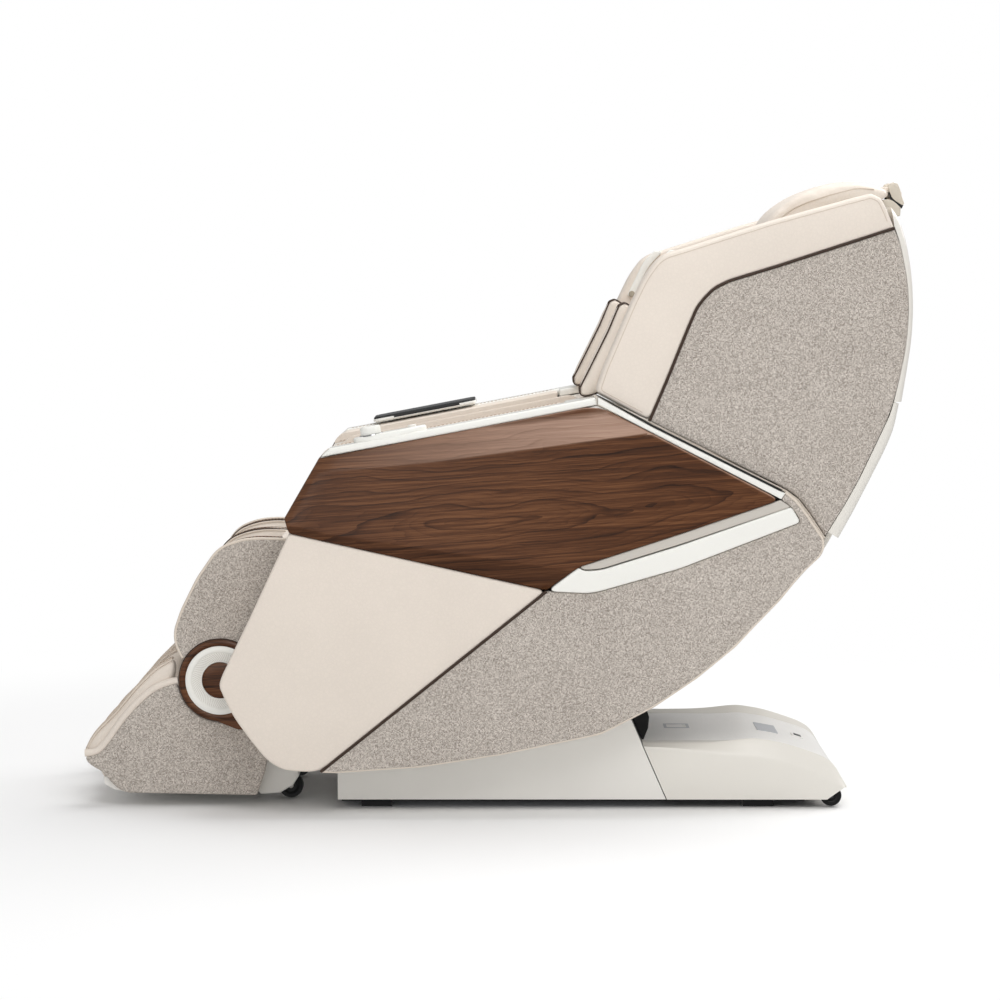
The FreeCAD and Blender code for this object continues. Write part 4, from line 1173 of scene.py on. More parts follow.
@dataclass
class Kept:
    """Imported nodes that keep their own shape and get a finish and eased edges."""

    finishes: Finishes
    ease: float = 1.2 * MM
    weld: float = 0.01 * MM
    corner: float = 35.0

    def build(self) -> None:
        """Dress every such node that no piece stands for."""
        looks = {
            self.finishes.steel: "base_frame carriage_plate seat_frame back_frame leg_frame",
            self.finishes.bright: "slide_rails slide_screw",
            self.finishes.grey: "slide_motor tilt_actuator air_pump control_box massage_unit",
            self.finishes.rubber: "floor_pads massage_rollers hose_boot",
            self.finishes.cream: "base_front_cover foot_shell side_shell_left side_shell_right",
            self.finishes.label: "switch_bezel",
            self.finishes.white: "tablet_dock power_switch",
        }
        for material, names in looks.items():
            for name in names.split():
                self.finish(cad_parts[name], material)

    def finish(self, node: bpy.types.Object, material: bpy.types.Material) -> None:
        """Give a node its material and ease its edges."""
        if not node.material_slots:
            node.data.materials.append(material)
        for slot in node.material_slots:
            slot.link = "OBJECT"
            slot.material = material
        weld = node.modifiers.new("weld", "WELD")
        weld.merge_threshold = self.weld
        ease = node.modifiers.new("ease", "BEVEL")
        ease.width = self.ease
        ease.segments = 2
        ease.limit_method = "ANGLE"
        ease.angle_limit = math.radians(self.corner)
        ease.use_clamp_overlap = True
        ease.harden_normals = True
        log.info("%s keeps its own shape", node.name)


WOOD_FRONT = (-417, 588)
WOOD_TOP = (-350, 704)
WOOD_PEAK = (188, 807)
WOOD_REAR = (541, 624)
STRIP_BEND = (347, 558)
STRIP_FRONT = (152, 494)
WOOD_POINT = (90, 447)
WOOD_LOW = (-408, 559)
STRIP_END = [(562, 611), (580, 581)]
STRIP_LOW = [(347, 491), (193, 447), (170, 443)]
PIPING_FOOT = (-348, 95)
POD_NOSE = [
    WOOD_LOW, (-486, 392), (-507, 349), (-540, 280), (-545, 262),
    (-522, 209), (-486, 158), (-455, 119), (-426, 99), (-390, 94),
]
POD_BELLY = [
    PIPING_FOOT, (-317, 94), (-155, 105), (0, 129), (194, 169), (237, 191), (298, 223),
    (379, 278), (453, 339), (491, 380), (539, 430), (581, 482), (617, 516), (623, 530),
]
POD_TAIL = [(623, 546), (593, 590), (571, 620), (550, 637)]
CAP_FRONT = (-329, 723)
CAP_REAR = (184, 821)


def arm_height(x: float, above: float = 0.0) -> float:
    """Height in millimetres at x of a line that runs above the arm's top."""
    slope = (CAP_REAR[1] - CAP_FRONT[1]) / (CAP_REAR[0] - CAP_FRONT[0])
    return CAP_FRONT[1] + (x - CAP_FRONT[0]) * slope + above


def arm_line(marks: Points) -> Points:
    """Turn marks of an x and a height over the arm's top into points of the side view."""
    return [(x, arm_height(x, above)) for x, above in marks]


class Sided:
    """What the pieces of one side share."""

    name: str
    body: Body

    @property
    def side(self) -> float:
        """Sign of the side's y."""
        return SIDES[self.name]

    def fix(
        self,
        form: Form,
        name: str,
        material: bpy.types.Material,
        slot: Slot,
        node: str = "",
        crease: float = CREASE,
    ) -> bpy.types.Object:
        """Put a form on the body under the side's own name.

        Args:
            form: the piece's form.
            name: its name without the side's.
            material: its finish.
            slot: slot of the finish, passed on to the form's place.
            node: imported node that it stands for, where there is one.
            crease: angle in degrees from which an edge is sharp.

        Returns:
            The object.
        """
        nodes = [node] if node else []
        return form.place(f"{name}_{self.name}", material, self.body, slot, nodes, crease)

    def span(self, near: float, far: float) -> tuple[float, float]:
        """Two distances from the middle as the low and the high y of this side."""
        low, high = sorted((self.side * near, self.side * far))
        return low, high


@dataclass
class SidePod(Sided):
    """One armrest body: wood, leather and cloth panels, their trims and the white arm top."""

    finishes: Finishes
    name: str
    body: Body = Body.SEAT
    wood: Points = (
        WOOD_FRONT, WOOD_TOP, WOOD_PEAK, WOOD_REAR, STRIP_BEND, STRIP_FRONT, WOOD_POINT, WOOD_LOW)
    upper_crease: Points = ((-420, 662), (-374, 674), (-129, 698), (291, 754), (340, 760))
    lower_crease: Points = ((-420, 579), (-412, 576), (-328, 556), (122, 489), (160, 484))
    recess: Points = (
        (162, 488.5), (193, 489.5), (347, 537.5), (562, 610.5), WOOD_REAR, STRIP_BEND, STRIP_FRONT)
    band: Points = (
        WOOD_POINT, STRIP_FRONT, (162, 487), (193, 488), (347, 536), *STRIP_END, *STRIP_LOW)
    seam: float = 0.4 * MM
    piping: float = 3.0 * MM
    facet_slope: float = 0.34
    facet_depth: float = 17 * MM
    facet_blend: float = 1.6 * MM
    front_bend: float = 34 * MM
    front_depth: float = 12 * MM

    def build(self) -> None:
        """Make every piece of the pod."""
        near = self.side > 0
        self.inner = node_face(f"side_shell_{self.name}", "y", not near)
        self.wall = node_face(f"wood_panel_{self.name}", "y", not near)
        self.outer = node_face(f"wood_panel_{self.name}", "y", near)
        self.pad_edge = node_face(f"arm_pad_{self.name}", "y", near)
        self.put = on_side(self.side)
        self.wood_panel()
        self.leather_cover()
        self.cloth_cover()
        self.accent()
        self.arm_top()
        self.arm_pad()
        self.noses()
        self.lining()

    def wood_relief(self, spots: np.ndarray) -> np.ndarray:
        """Depth by which the facets and the rounded front draw the wood in."""
        upper = np.array(self.upper_crease) * MM
        lower = np.array(self.lower_crease) * MM
        above = spots[:, 1] - np.interp(spots[:, 0], upper[:, 0], upper[:, 1])
        below = np.interp(spots[:, 0], lower[:, 0], lower[:, 1]) - spots[:, 1]
        soft = self.facet_blend
        drop = self.facet_slope * 0.5 * (above + np.sqrt(above**2 + soft**2))
        drop = drop + self.facet_slope * 0.5 * (below + np.sqrt(below**2 + soft**2))
        front = line_distance(spots, np.array(WOOD_FRONT) * MM, np.array(WOOD_TOP) * MM)
        near = np.maximum(0, 1 - front / self.front_bend)
        return np.minimum(drop + self.front_depth * (1 - np.sqrt(1 - near**2)), self.facet_depth)

    def wood_panel(self) -> None:
        """Make the faceted walnut panel."""
        outline = Outline(self.wood).inset(self.seam).rounded(9 * MM, 0.1, 40.0)
        creases = []
        for crease in (self.upper_crease, self.lower_crease):
            line = spaced(np.array(crease, float) * MM, 9 * MM)
            for lift in (-3.0, -1.0, 0.0, 1.0, 3.0):
                creases.append(line + np.array([0.0, lift * MM]))
        creases = np.vstack(creases)
        creases = creases[outline.holds(creases)]
        creases = creases[outline.distance(creases) > 3 * MM]
        panel = Panel(
            outline, self.wall, self.outer, rim=2.2 * MM, cell=16 * MM,
            relief=self.wood_relief, extra=creases)
        self.fix(panel.form(self.put), "walnut_panel", self.finishes.walnut, Slot.WALNUT,
                 f"wood_panel_{self.name}", PANEL_CREASE)

    def leather_cover(self) -> None:
        """Make the front leather cover and the brown piping behind it."""
        border = Outline([*POD_NOSE, PIPING_FOOT, WOOD_POINT])
        outline = border.inset(self.seam).rounded(8 * MM, 0.35, 40.0)
        face = self.outer - 4 * MM
        panel = Panel(outline, self.wall, face, rim=5 * MM, crown=3 * MM, reach=150 * MM)
        self.fix(panel.form(self.put), "leather_cover", self.finishes.leather, Slot.LEATHER,
                 f"front_cover_{self.name}", PANEL_CREASE)
        line = spaced(np.array([PIPING_FOOT, WOOD_POINT], float) * MM, 20 * MM)
        piping = tube(self.put(line, np.full(len(line), self.outer - 3.4 * MM)), self.piping, 10)
        self.fix(piping, "cover_piping", self.finishes.piping, Slot.LEATHER)

    def cloth_cover(self) -> None:
        """Make the cloth side cover and the pale piping along its lower edge."""
        border = [*POD_BELLY, *POD_TAIL, WOOD_REAR, *STRIP_END, *STRIP_LOW, WOOD_POINT]
        outline = Outline(border).inset(self.seam).rounded(6 * MM, 0.5, 40.0)
        face = self.outer - 3 * MM
        panel = Panel(outline, self.wall, face, rim=4 * MM, crown=2 * MM, reach=90 * MM)
        self.fix(panel.form(self.put), "cloth_cover", self.finishes.tweed, Slot.TWEED,
                 f"side_fabric_{self.name}", PANEL_CREASE)
        edge = curved([*POD_BELLY, *POD_TAIL], 60 * MM, 12 * MM)
        edge = edge + np.array([0.0, 1.2 * MM])
        rim = tube(self.put(edge, np.full(len(edge), self.outer - 8 * MM)), 3.4 * MM, 10)
        self.fix(rim, "belly_piping", self.finishes.cream_piping, Slot.LEATHER)
        self.gap_rim()

    def gap_rim(self) -> None:
        """Make the white rim, and a black sheet painted as the shadow in the gap between the pod and the
        backrest.
        """
        rear = POD_TAIL[-1]
        rim = [(188.5, 808.5), (542, 625.5), rear, (541, 640), (289, 766), (188, 822)]
        gap_shade = [(189, 823), (289, 767), (541, 641), (545, 643), (292, 770), (186, 826)]
        for outline, lower, name, finish, slot in (
            (rim, 2.5 * MM, "gap_rim", self.finishes.white, Slot.WHITE),
            # Black sheet in the gap: painted shadow
            (gap_shade, 9 * MM, "gap_shade_sheet", self.finishes.black, Slot.BLACK),
        ):
            inner, outer = self.wall - 30 * MM, self.outer - lower
            panel = Panel(Outline(outline), inner, outer, rim=1.2 * MM, cell=30 * MM)
            self.fix(panel.form(self.put), name, finish, slot)

    def accent(self) -> None:
        """Make the white band and the recess above it, whose darker colour is painted shade under the
        wood.
        """
        outline = Outline(self.band).inset(self.seam).rounded(7 * MM, 0.3, 45.0)
        band = Panel(
            outline, self.wall, self.outer, rim=3.5 * MM, crown=0.8 * MM, reach=25 * MM, cell=12 * MM)
        self.fix(band.form(self.put), "accent_band", self.finishes.white, Slot.WHITE, "accent_strips")
        # The recess is darker white: painted shade under the wood
        outline = Outline(self.recess).inset(self.seam).rounded(3 * MM, 0.2, 45.0)
        recess = Panel(outline, self.wall, self.outer - 5 * MM, rim=1 * MM, cell=12 * MM)
        self.fix(recess.form(self.put), "accent_recess", self.finishes.recess, Slot.WHITE,
                 "accent_strips")

    def arm_top(self) -> None:
        """Make the white shell along the top of the arm."""
        outline = Outline([WOOD_TOP, CAP_FRONT, CAP_REAR, WOOD_PEAK]).rounded(4 * MM, 0.1, 20.0)
        low, high = self.span(self.pad_edge + 0.5 * MM, self.outer - 13 * MM)
        cap = Pad(outline, low, high, draw=4 * MM, edge=6 * MM, step=14 * MM).form()
        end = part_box(f"arm_pad_{self.name}")[1].x / MM + 2
        rear = Outline([*arm_line([(end, -15), (end, 0)]), CAP_REAR, WOOD_PEAK])
        low, high = self.span(self.inner + 1 * MM, self.pad_edge + 2 * MM)
        block = Pad(rear.rounded(4 * MM, 0.1, 20.0), low, high, draw=3 * MM, edge=5 * MM, step=14 * MM)
        self.fix(cap.join(block.form()), "arm_top", self.finishes.white, Slot.WHITE, "arm_caps")

    def arm_pad(self) -> None:
        """Make the leather pad in the arm, with its stitched edge on the inner face."""
        low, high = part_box(f"arm_pad_{self.name}")
        rear = high.x / MM
        marks = [(-346, -14), (-340, -7.5), (-328, -1.5),
                 (rear - 8, -1), (rear - 0.5, -5), (rear - 0.5, -14.5)]
        outline = Outline(arm_line(marks)).rounded(5 * MM, 0.2, 20.0)
        low_y, high_y = low.y + 0.3 * MM, high.y - 0.3 * MM
        pad = Pad(outline, low_y, high_y, draw=3.5 * MM, edge=20 * MM, step=9 * MM).form()
        leather, slot = self.finishes.leather, Slot.LEATHER
        piece = self.fix(pad, "arm_cushion", leather, slot, f"arm_pad_{self.name}")
        marks = [(-354.5, -22.5), (-349, -13), (-338, -5), (rear - 2, -5), (rear - 2, -24)]
        edge = Outline(arm_line(marks)).rounded(4 * MM, 0.1, 20.0)
        near, far = self.span(self.inner - 1.8 * MM, self.inner + 1 * MM)
        wrap = Pad(edge, near, far, draw=1 * MM, edge=1.2 * MM, step=12 * MM).form()
        self.fix(wrap, "arm_facing", leather, slot)
        seams = Form()
        for front, end, above, away in (
            (-346, rear - 8, -20, self.inner - 2.1 * MM),
            (-322, rear - 12, 0.4, self.pad_edge - 9 * MM),
        ):
            line = curved(arm_line([(x, above) for x in (front, -200, end)]), 40 * MM, 8 * MM)
            seams.join(stitches(at_level(line, self.side * away)))
        self.fix(seams, "arm_stitching", self.finishes.thread, slot)

    def noses(self) -> None:
        """Wrap the pod's front, with walnut above and leather below."""
        low, high = self.span(self.inner + 0.3 * MM, self.wall - 0.2 * MM)
        wood = [WOOD_TOP, WOOD_FRONT, WOOD_LOW]
        leather = [WOOD_LOW, *POD_NOSE[1:]]
        for path, name, material, slot in (
            (wood, "walnut_nose", self.finishes.walnut, Slot.WALNUT),
            (leather, "leather_nose", self.finishes.leather, Slot.LEATHER),
        ):
            line = curved(path, 16 * MM, 10 * MM)
            inward = leftward(np.gradient(line, axis=0))
            band = np.vstack([line + inward * 0.3 * MM, (line + inward * 1.9 * MM)[::-1]])
            rings = []
            for y, drawn in ((low, 0.7), (low + 3 * MM, 0.0), (high - 3 * MM, 0.0), (high, 0.7)):
                ring = band.copy()
                ring[: len(line)] += inward * drawn * MM
                rings.append(at_level(ring, y))
            self.fix(Form().loft(rings), name, material, slot, crease=PANEL_CREASE)

    def lining(self) -> None:
        """Make the padded leather lining of the arm's inner face."""
        border = [(-395, 560), (-345, 690), (-318, 712), (150, 800),
                  (250, 740), (255, 520), (-120, 505), (-330, 520)]
        outline = Outline(border).rounded(26 * MM, 0.3, 15.0)
        seat_edge = node_face("seat_cushion", "y", self.side > 0)
        face = Panel(outline, 0.0, self.inner - seat_edge - 0.5 * MM, rim=3 * MM, crown=0.0)
        form = face.form(on_side(self.side, self.inner, -1.0))
        self.fix(form, "arm_lining", self.finishes.leather, Slot.LEATHER, crease=PANEL_CREASE)


WHITE = (1.0, 1.0, 1.0)


@dataclass
class Studio:
    """Camera, lamps and floor."""

    distance: float = 6.390
    eye: float = 1.085
    pitch: float = 4.39
    lens: float = 112.5
    daylight: float = 0.42
    glare: float = 0.3
    half_floor: float = 6.5
    aim: float = 0.55

    def build(self) -> None:
        """Make the camera, the lamps, the floor and the sky."""
        self.camera()
        self.lamps()
        self.floor()
        self.sky()

    def camera(self) -> None:
        """Put the camera at the photograph's viewing angle."""
        data = bpy.data.cameras.new("camera")
        data.lens = self.lens
        data.sensor_width = 36.0
        camera = bpy.data.objects.new("camera", data)
        camera.location = (0.0, -self.distance, self.eye)
        camera.rotation_euler = Euler((math.radians(90 - self.pitch), 0.0, 0.0))
        bpy.context.scene.collection.objects.link(camera)
        bpy.context.scene.camera = camera

    def lamps(self) -> None:
        """Hang four soft lamps round the chair."""
        for name, place, size, power in (
            ("key_lamp", (0.6, -3.25, 2.85), 1.9, 45.0),
            ("fill_lamp", (-1.2, -4.0, 0.9), 2.4, 19.0),
            ("top_lamp", (0.8, 0.3, 3.6), 3.0, 74.0),
            ("rear_lamp", (2.8, 2.0, 2.8), 2.4, 60.0),
        ):
            data = bpy.data.lights.new(name, "AREA")
            data.shape = "SQUARE"
            data.size = size
            data.energy = power
            lamp = bpy.data.objects.new(name, data)
            lamp.location = place
            aim = Vector((0.0, 0.0, self.aim)) - Vector(place)
            lamp.rotation_euler = aim.to_track_quat("-Z", "Y").to_euler()
            bpy.context.scene.collection.objects.link(lamp)

    def floor(self) -> None:
        """Lay a white floor that keeps the chair's shadow and fades into the background."""
        size = self.half_floor
        mesh = bpy.data.meshes.new("floor")
        corners = [(-size, -size, 0.0), (size, -size, 0.0), (size, size, 0.0), (-size, size, 0.0)]
        mesh.from_pydata(corners, [], [(0, 1, 2, 3)])
        floor = bpy.data.objects.new("floor", mesh)
        bpy.context.scene.collection.objects.link(floor)
        paint = Paint("studio_floor")
        x, y, z = paint.place()
        away = paint.maths("SQRT", x * x + y * y * 0.8)
        far = paint.node("ShaderNodeMapRange", {"interpolation_type": "SMOOTHSTEP"},
                         {"Value": away, "From Min": 0.9, "From Max": 2.1})
        ray = paint.node("ShaderNodeLightPath")
        seen = Signal(paint, ray.outputs["Is Camera Ray"])
        plain = paint.node("ShaderNodeBsdfDiffuse", inputs={"Color": (0.95, 0.95, 0.95)})
        white = paint.node("ShaderNodeEmission", inputs={"Color": WHITE, "Strength": 1.0})
        mixed = paint.node("ShaderNodeMixShader", inputs={
            0: seen * Signal(paint, far.outputs[0]), 1: plain.outputs[0], 2: white.outputs[0]})
        dim = paint.node("ShaderNodeEmission", inputs={"Color": WHITE, "Strength": self.glare})
        toned = paint.node("ShaderNodeMixShader", inputs={
            0: ray.outputs["Is Glossy Ray"], 1: mixed.outputs[0], 2: dim.outputs[0]})
        paint.node("ShaderNodeOutputMaterial", inputs={"Surface": toned.outputs[0]})
        mesh.materials.append(paint.material)

    def sky(self) -> None:
        """Light the chair evenly, with white behind it for the camera and for reflections."""
        world = bpy.data.worlds.new("studio")
        world.use_nodes = True
        bpy.context.scene.world = world
        paint = Paint.__new__(Paint)
        paint.tree = world.node_tree
        paint.tree.nodes.clear()
        ray = paint.node("ShaderNodeLightPath")
        seen = paint.maths("MAXIMUM", Signal(paint, ray.outputs["Is Camera Ray"]),
                           Signal(paint, ray.outputs["Is Transmission Ray"]))
        glossy = Signal(paint, ray.outputs["Is Glossy Ray"])
        strength = paint.maths("MAXIMUM", seen, glossy * self.glare + (1.0 - glossy) * self.daylight)
        light = paint.node("ShaderNodeBackground", inputs={"Color": WHITE, "Strength": strength})
        paint.node("ShaderNodeOutputWorld", inputs={"Surface": light.outputs[0]})
        bpy.context.scene.view_settings.view_transform = "Standard"


WING_FRONT = [
    (183, 831), (199, 878), (250, 998), (277, 1054), (301, 1086), (319, 1098), (356, 1109),
    (518, 1160), (670, 1202), (712, 1213), (731, 1204), (738, 1193), (757, 1149),
]
WING_PIPING = [
    (757, 1146), (532, 1073), (440, 1045), (412, 1031), (393, 1012),
    (379, 994), (361, 952), (320, 850), (288, 775),
]
WING_REAR = [
    (769, 1119), (783, 1054), (788, 998), (784, 924), (771, 859),
    (753, 789), (727, 733), (694, 663), (666, 612), (634, 560),
]
WING_TAIL = [(629, 552), (600, 596), (577, 626), (554, 643)]
UPPER_REAR = [
    (777, 812), (786, 868), (795, 929), (798, 989),
    (795, 1054), (783, 1123), (768, 1167), (752, 1188),
]
SHELL_TOP = [(700, 1172), (655, 1145)]
LOWER_REAR = [(772, 808), (762, 757), (744, 715), (716, 659), (685, 598), (657, 547)]
LOWER_NARROW = [(640, 516), (607, 477), (573, 439), (547, 415), (513, 395), (491, 380)]
RECLINE = (440.0, 419.0)
BACK_SLOPE = math.radians(66)


def along_back(up: float, rear: float) -> tuple[float, float]:
    """Place in millimetres of a point up the back and behind the recline axis."""
    x = RECLINE[0] + up * math.cos(BACK_SLOPE) + rear * math.sin(BACK_SLOPE)
    z = RECLINE[1] + up * math.sin(BACK_SLOPE) - rear * math.cos(BACK_SLOPE)
    return x, z


def back_levels(spots: np.ndarray) -> tuple[np.ndarray, np.ndarray]:
    """Distance up the back and distance behind the recline axis of points, in metres."""
    x = spots[:, 0] - RECLINE[0] * MM
    z = spots[:, 2] - RECLINE[1] * MM
    up = x * math.cos(BACK_SLOPE) + z * math.sin(BACK_SLOPE)
    rear = x * math.sin(BACK_SLOPE) - z * math.cos(BACK_SLOPE)
    return up, rear


@dataclass
class Wing(Sided):
    """One side wing of the backrest with its shoulder pad."""

    finishes: Finishes
    name: str
    body: Body = Body.BACK
    piping: float = 2.9 * MM
    lobe: Points = (
        (165, 819), (156, 823), (155, 836), (183, 892), (211, 949), (224, 980),
        (232, 998), (244, 1003), (262, 992), (236, 901), (208, 836), (190, 825))
    bar: Points = ((271, 1009), (284, 1006), (317, 1073), (347, 1103), (330, 1105), (307, 1084))

    def build(self) -> None:
        """Make every piece of the wing."""
        near = self.side > 0
        self.inner = node_face(f"wing_leather_{self.name}", "y", not near)
        self.outer = node_face(f"wing_leather_{self.name}", "y", near)
        self.middle = (self.inner + self.outer) / 2
        self.put = on_side(self.side)
        self.leather_band()
        self.cloth_insert()
        self.lining()
        self.shoulder_pad()
        self.trim()

    def leather_band(self) -> None:
        """Make the leather band round the wing's front and top."""
        border = Outline([*WING_FRONT, *WING_PIPING])
        outline = border.inset(0.4 * MM).rounded(14 * MM, 0.3, 30.0)
        low, high = self.span(self.inner, self.outer)
        pad = Pad(outline, low, high, draw=7 * MM, edge=12 * MM, dome=2.5 * MM, step=12 * MM)
        self.fix(pad.form(), "wing_band", self.finishes.leather, Slot.LEATHER,
                 f"wing_leather_{self.name}", PAD_CREASE)
        # A thin darker tube along the seam, painted as the shade in its groove
        seam = border.rounded(18 * MM, 0.3, 30.0).sampled(8 * MM).inset(9 * MM)
        away = path_distance(seam.points, np.array(WING_PIPING, float) * MM)
        start = int(np.argmin(away))
        order = np.roll(seam.points, -start, axis=0)
        order = order[np.roll(away, -start) > 16 * MM]
        gaps = lengths(np.diff(order, axis=0))
        split = int(np.argmax(gaps)) + 1 if gaps.max() > 30 * MM else 0
        order = np.roll(order, -split, axis=0)
        level = np.full(len(order), self.outer + 0.1 * MM)
        line = tube(self.put(order, level), 0.9 * MM, 6)
        self.fix(line, "wing_seam_shade", self.finishes.painted_shade_leather, Slot.LEATHER)

    def cloth_insert(self) -> None:
        """Make the cloth insert and the brown piping in front of it."""
        border = Outline([*WING_PIPING[::-1], *WING_REAR, *WING_TAIL])
        outline = border.inset(0.4 * MM).rounded(6 * MM, 0.4, 40.0)
        outer = self.outer - 3 * MM
        face = Panel(outline, self.middle, outer, rim=5 * MM, crown=3 * MM, reach=110 * MM)
        self.fix(face.form(self.put), "wing_cloth", self.finishes.tweed, Slot.TWEED,
                 f"wing_fabric_{self.name}", PANEL_CREASE)
        line = curved(WING_PIPING, 60 * MM, 8 * MM)
        piping = tube(self.put(line, np.full(len(line), self.outer - 2.6 * MM)), self.piping, 10)
        self.fix(piping, "wing_piping", self.finishes.piping, Slot.LEATHER)

    def lining(self) -> None:
        """Make the leather face on the inner side of the wing."""
        border = Outline([*WING_PIPING[::-1], *WING_REAR, *WING_TAIL])
        outline = border.inset(0.8 * MM).rounded(8 * MM, 0.4, 40.0)
        depth = (self.outer - self.inner) / 2 - 0.5 * MM
        form = Panel(outline, 0.0, depth, rim=8 * MM).form(on_side(self.side, self.middle, -1.0))
        self.fix(form, "wing_lining", self.finishes.leather, Slot.LEATHER,
                 f"wing_fabric_{self.name}", PANEL_CREASE)

    def shoulder_pad(self) -> None:
        """Make the shoulder pad with brown piping round both its faces."""
        start = node_face(f"shoulder_pad_{self.name}", "y", self.side < 0)
        low, high = self.span(start, self.inner - 0.6 * MM)
        outline = Outline(self.lobe).rounded(8 * MM, 0.2, 25.0)
        near, far = low + 3 * MM, high - 1 * MM
        pad = Pad(outline, near, far, draw=4.5 * MM, edge=14 * MM, dome=2 * MM, step=8 * MM)
        piece = pad.form().loose(f"shoulder_cover_{self.name}", self.finishes.leather)
        Stuffing(voxel=5 * MM, limit=3 * MM).fill(piece, lambda spots: np.zeros(len(spots)))
        settle(piece, Body.BACK, [f"shoulder_pad_{self.name}"])
        rim = outline.sampled(6 * MM).inset(0.6 * MM).points
        seams = Form()
        for y in (low + 8 * MM, high - 6 * MM):
            seams.join(tube(at_level(rim, y), 1.5 * MM, 8, closed=True))
        self.fix(seams, "shoulder_piping", self.finishes.piping, Slot.LEATHER)

    def trim(self) -> None:
        """Make the white bar on the wing's inner face, its knob and the binding of the lower edge."""
        bar = Outline(self.bar).rounded(4 * MM, 0.2, 40.0)
        low, high = self.span(self.inner - 9 * MM, self.inner - 0.6 * MM)
        pad = Pad(bar, low, high, draw=1 * MM, edge=2.5 * MM, step=8 * MM)
        self.fix(pad.form(), "wing_bar", self.finishes.white, Slot.WHITE)
        knob = lathe([(0, -1), (5.6, -1), (6.6, 0), (6.6, 13), (5.6, 14), (0, 14)], 32)
        knob.moved(turned_to_side(-self.side, 281 * MM, 1013 * MM, -self.inner - 1.5 * MM))
        self.fix(knob, "wing_knob", self.finishes.taupe, Slot.CREAM)
        below = [(x - 1.6, z - 3.2) for x, z in (WING_PIPING[-1], *WING_TAIL[::-1])]
        edge = curved(below, 30 * MM, 10 * MM)
        binding = tube(self.put(edge, np.full(len(edge), self.outer - 5.5 * MM)), 2.4 * MM, 8)
        self.fix(binding, "wing_binding", self.finishes.cream_piping, Slot.LEATHER)


@dataclass
class BackShell:
    """Hard shells behind the backrest."""

    finishes: Finishes
    neck: Points = ((626, 1079), (642, 1077), (668, 1137), (655, 1143))
    thick: float = 12 * MM
    low_half: float = 0.256
    steps: int = 60

    def build(self) -> None:
        """Make the upper and the lower shell."""
        wide = node_face("back_upper_shell", "y", True)
        rim = [(757.8, 1150), *WING_REAR[:5], (760, 812)]
        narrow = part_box("back_cushion")[1].y - 0.2 * MM
        finish, slot = self.finishes.shell, Slot.SHELL
        upper = self.shell([*UPPER_REAR], rim[::-1], wide)
        upper.join(self.wall([*UPPER_REAR, *SHELL_TOP], narrow))
        upper.place("upper_back_shell", finish, Body.BACK, slot, ["back_upper_shell"])
        neck = Outline(self.neck).rounded(3 * MM, 0.3, 20.0)
        panel = Pad(neck, -narrow, narrow, draw=1 * MM, edge=2 * MM, step=14 * MM).form()
        panel.place("neck_panel", self.finishes.leather, Body.BACK, Slot.LEATHER)
        rim = [(x + 0.8, z) for x, z in WING_REAR[:4:-1]] + [(759.5, 811)]
        lower = self.shell(LOWER_REAR[::-1], rim, wide)
        lower.join(self.wall([*LOWER_NARROW[::-1], *LOWER_REAR[::-1]], self.low_half))
        lower.place("lower_back_shell", finish, Body.BACK, slot, ["back_lower_shell"])

    def shell(self, rear: Points, front: Points, wide: float) -> Form:
        """Wide shell between a rear line and a front line, rounded at both sides.

        Args:
            rear: points of its rear line in millimetres, bottom to top.
            front: points of its front line, in the same direction.
            wide: half of its width in metres.

        Returns:
            The closed form.
        """
        count = self.steps
        lines = []
        for line in (rear, front):
            path = curved(line, 0.5, 4 * MM)
            steps = np.concatenate([[0.0], np.cumsum(lengths(np.diff(path, axis=0)))])
            marks = np.linspace(0, steps[-1], count)
            lines.append(np.column_stack([np.interp(marks, steps, path[:, axis]) for axis in (0, 1)]))
        outer, inner = lines
        corner, deep = 22 * MM, 0.85
        turns = np.radians(np.linspace(0, 90, 8))
        ends = [(wide - corner * (1 - math.sin(t)), deep * (1 - math.cos(t))) for t in turns]
        form = Form()
        rings = []
        for y, drawn in [(-y, drawn) for y, drawn in reversed(ends)] + ends:
            edge = outer + (inner - outer) * drawn
            rings.append(form.add(at_level(np.vstack([edge, inner[::-1]]), y)))
        for first, second in zip(rings, rings[1:]):
            form.bridge(first, second)
        for ring in (rings[0], rings[-1]):
            for index in range(count - 1):
                far = 2 * count - 1 - index
                form.faces.append((ring[index], ring[index + 1], ring[far - 1], ring[far]))
        return form

    def wall(self, path: Points, half: float) -> Form:
        """Curved wall across the chair behind the cushion."""
        line = curved(path, 0.3, 8 * MM)
        inward = leftward(np.gradient(line, axis=0))
        ring = np.vstack([line + inward * 0.8 * MM, (line + inward * self.thick)[::-1]])
        outline = Outline(ring, 1.0)
        return Pad(outline, -half, half, draw=2 * MM, edge=4 * MM, step=14 * MM).form()


class Quilt:
    """Cushion whose face is drawn in along rows, and along a column at each side of them."""

    rows: Sequence[float]
    columns: Sequence[float]
    seam_half: float = 10 * MM
    groove_half: float = 9 * MM

    def seam_distance(self, along: np.ndarray, across: np.ndarray) -> np.ndarray:
        """Distance of points of the face to the nearest seam.

        Args:
            along: place of each point across the rows, in metres.
            across: place of each point across the columns.

        Returns:
            One distance per point.
        """
        row = np.min([np.abs(along - at) for at in self.rows], axis=0)
        column = np.min([np.abs(across - at) for at in self.columns], axis=0)
        inside = np.abs(across) < self.columns[1]
        return np.minimum(np.where(inside, row, 1.0), column)

    def grip(self, away: np.ndarray) -> np.ndarray:
        """Share by which a seam holds the points at a distance from it."""
        return np.clip(1 - away / self.seam_half, 0, 1)

    def groove(self, away: np.ndarray) -> np.ndarray:
        """Share of a seam's depth at a distance from it."""
        return np.exp(-((away / self.groove_half) ** 2))


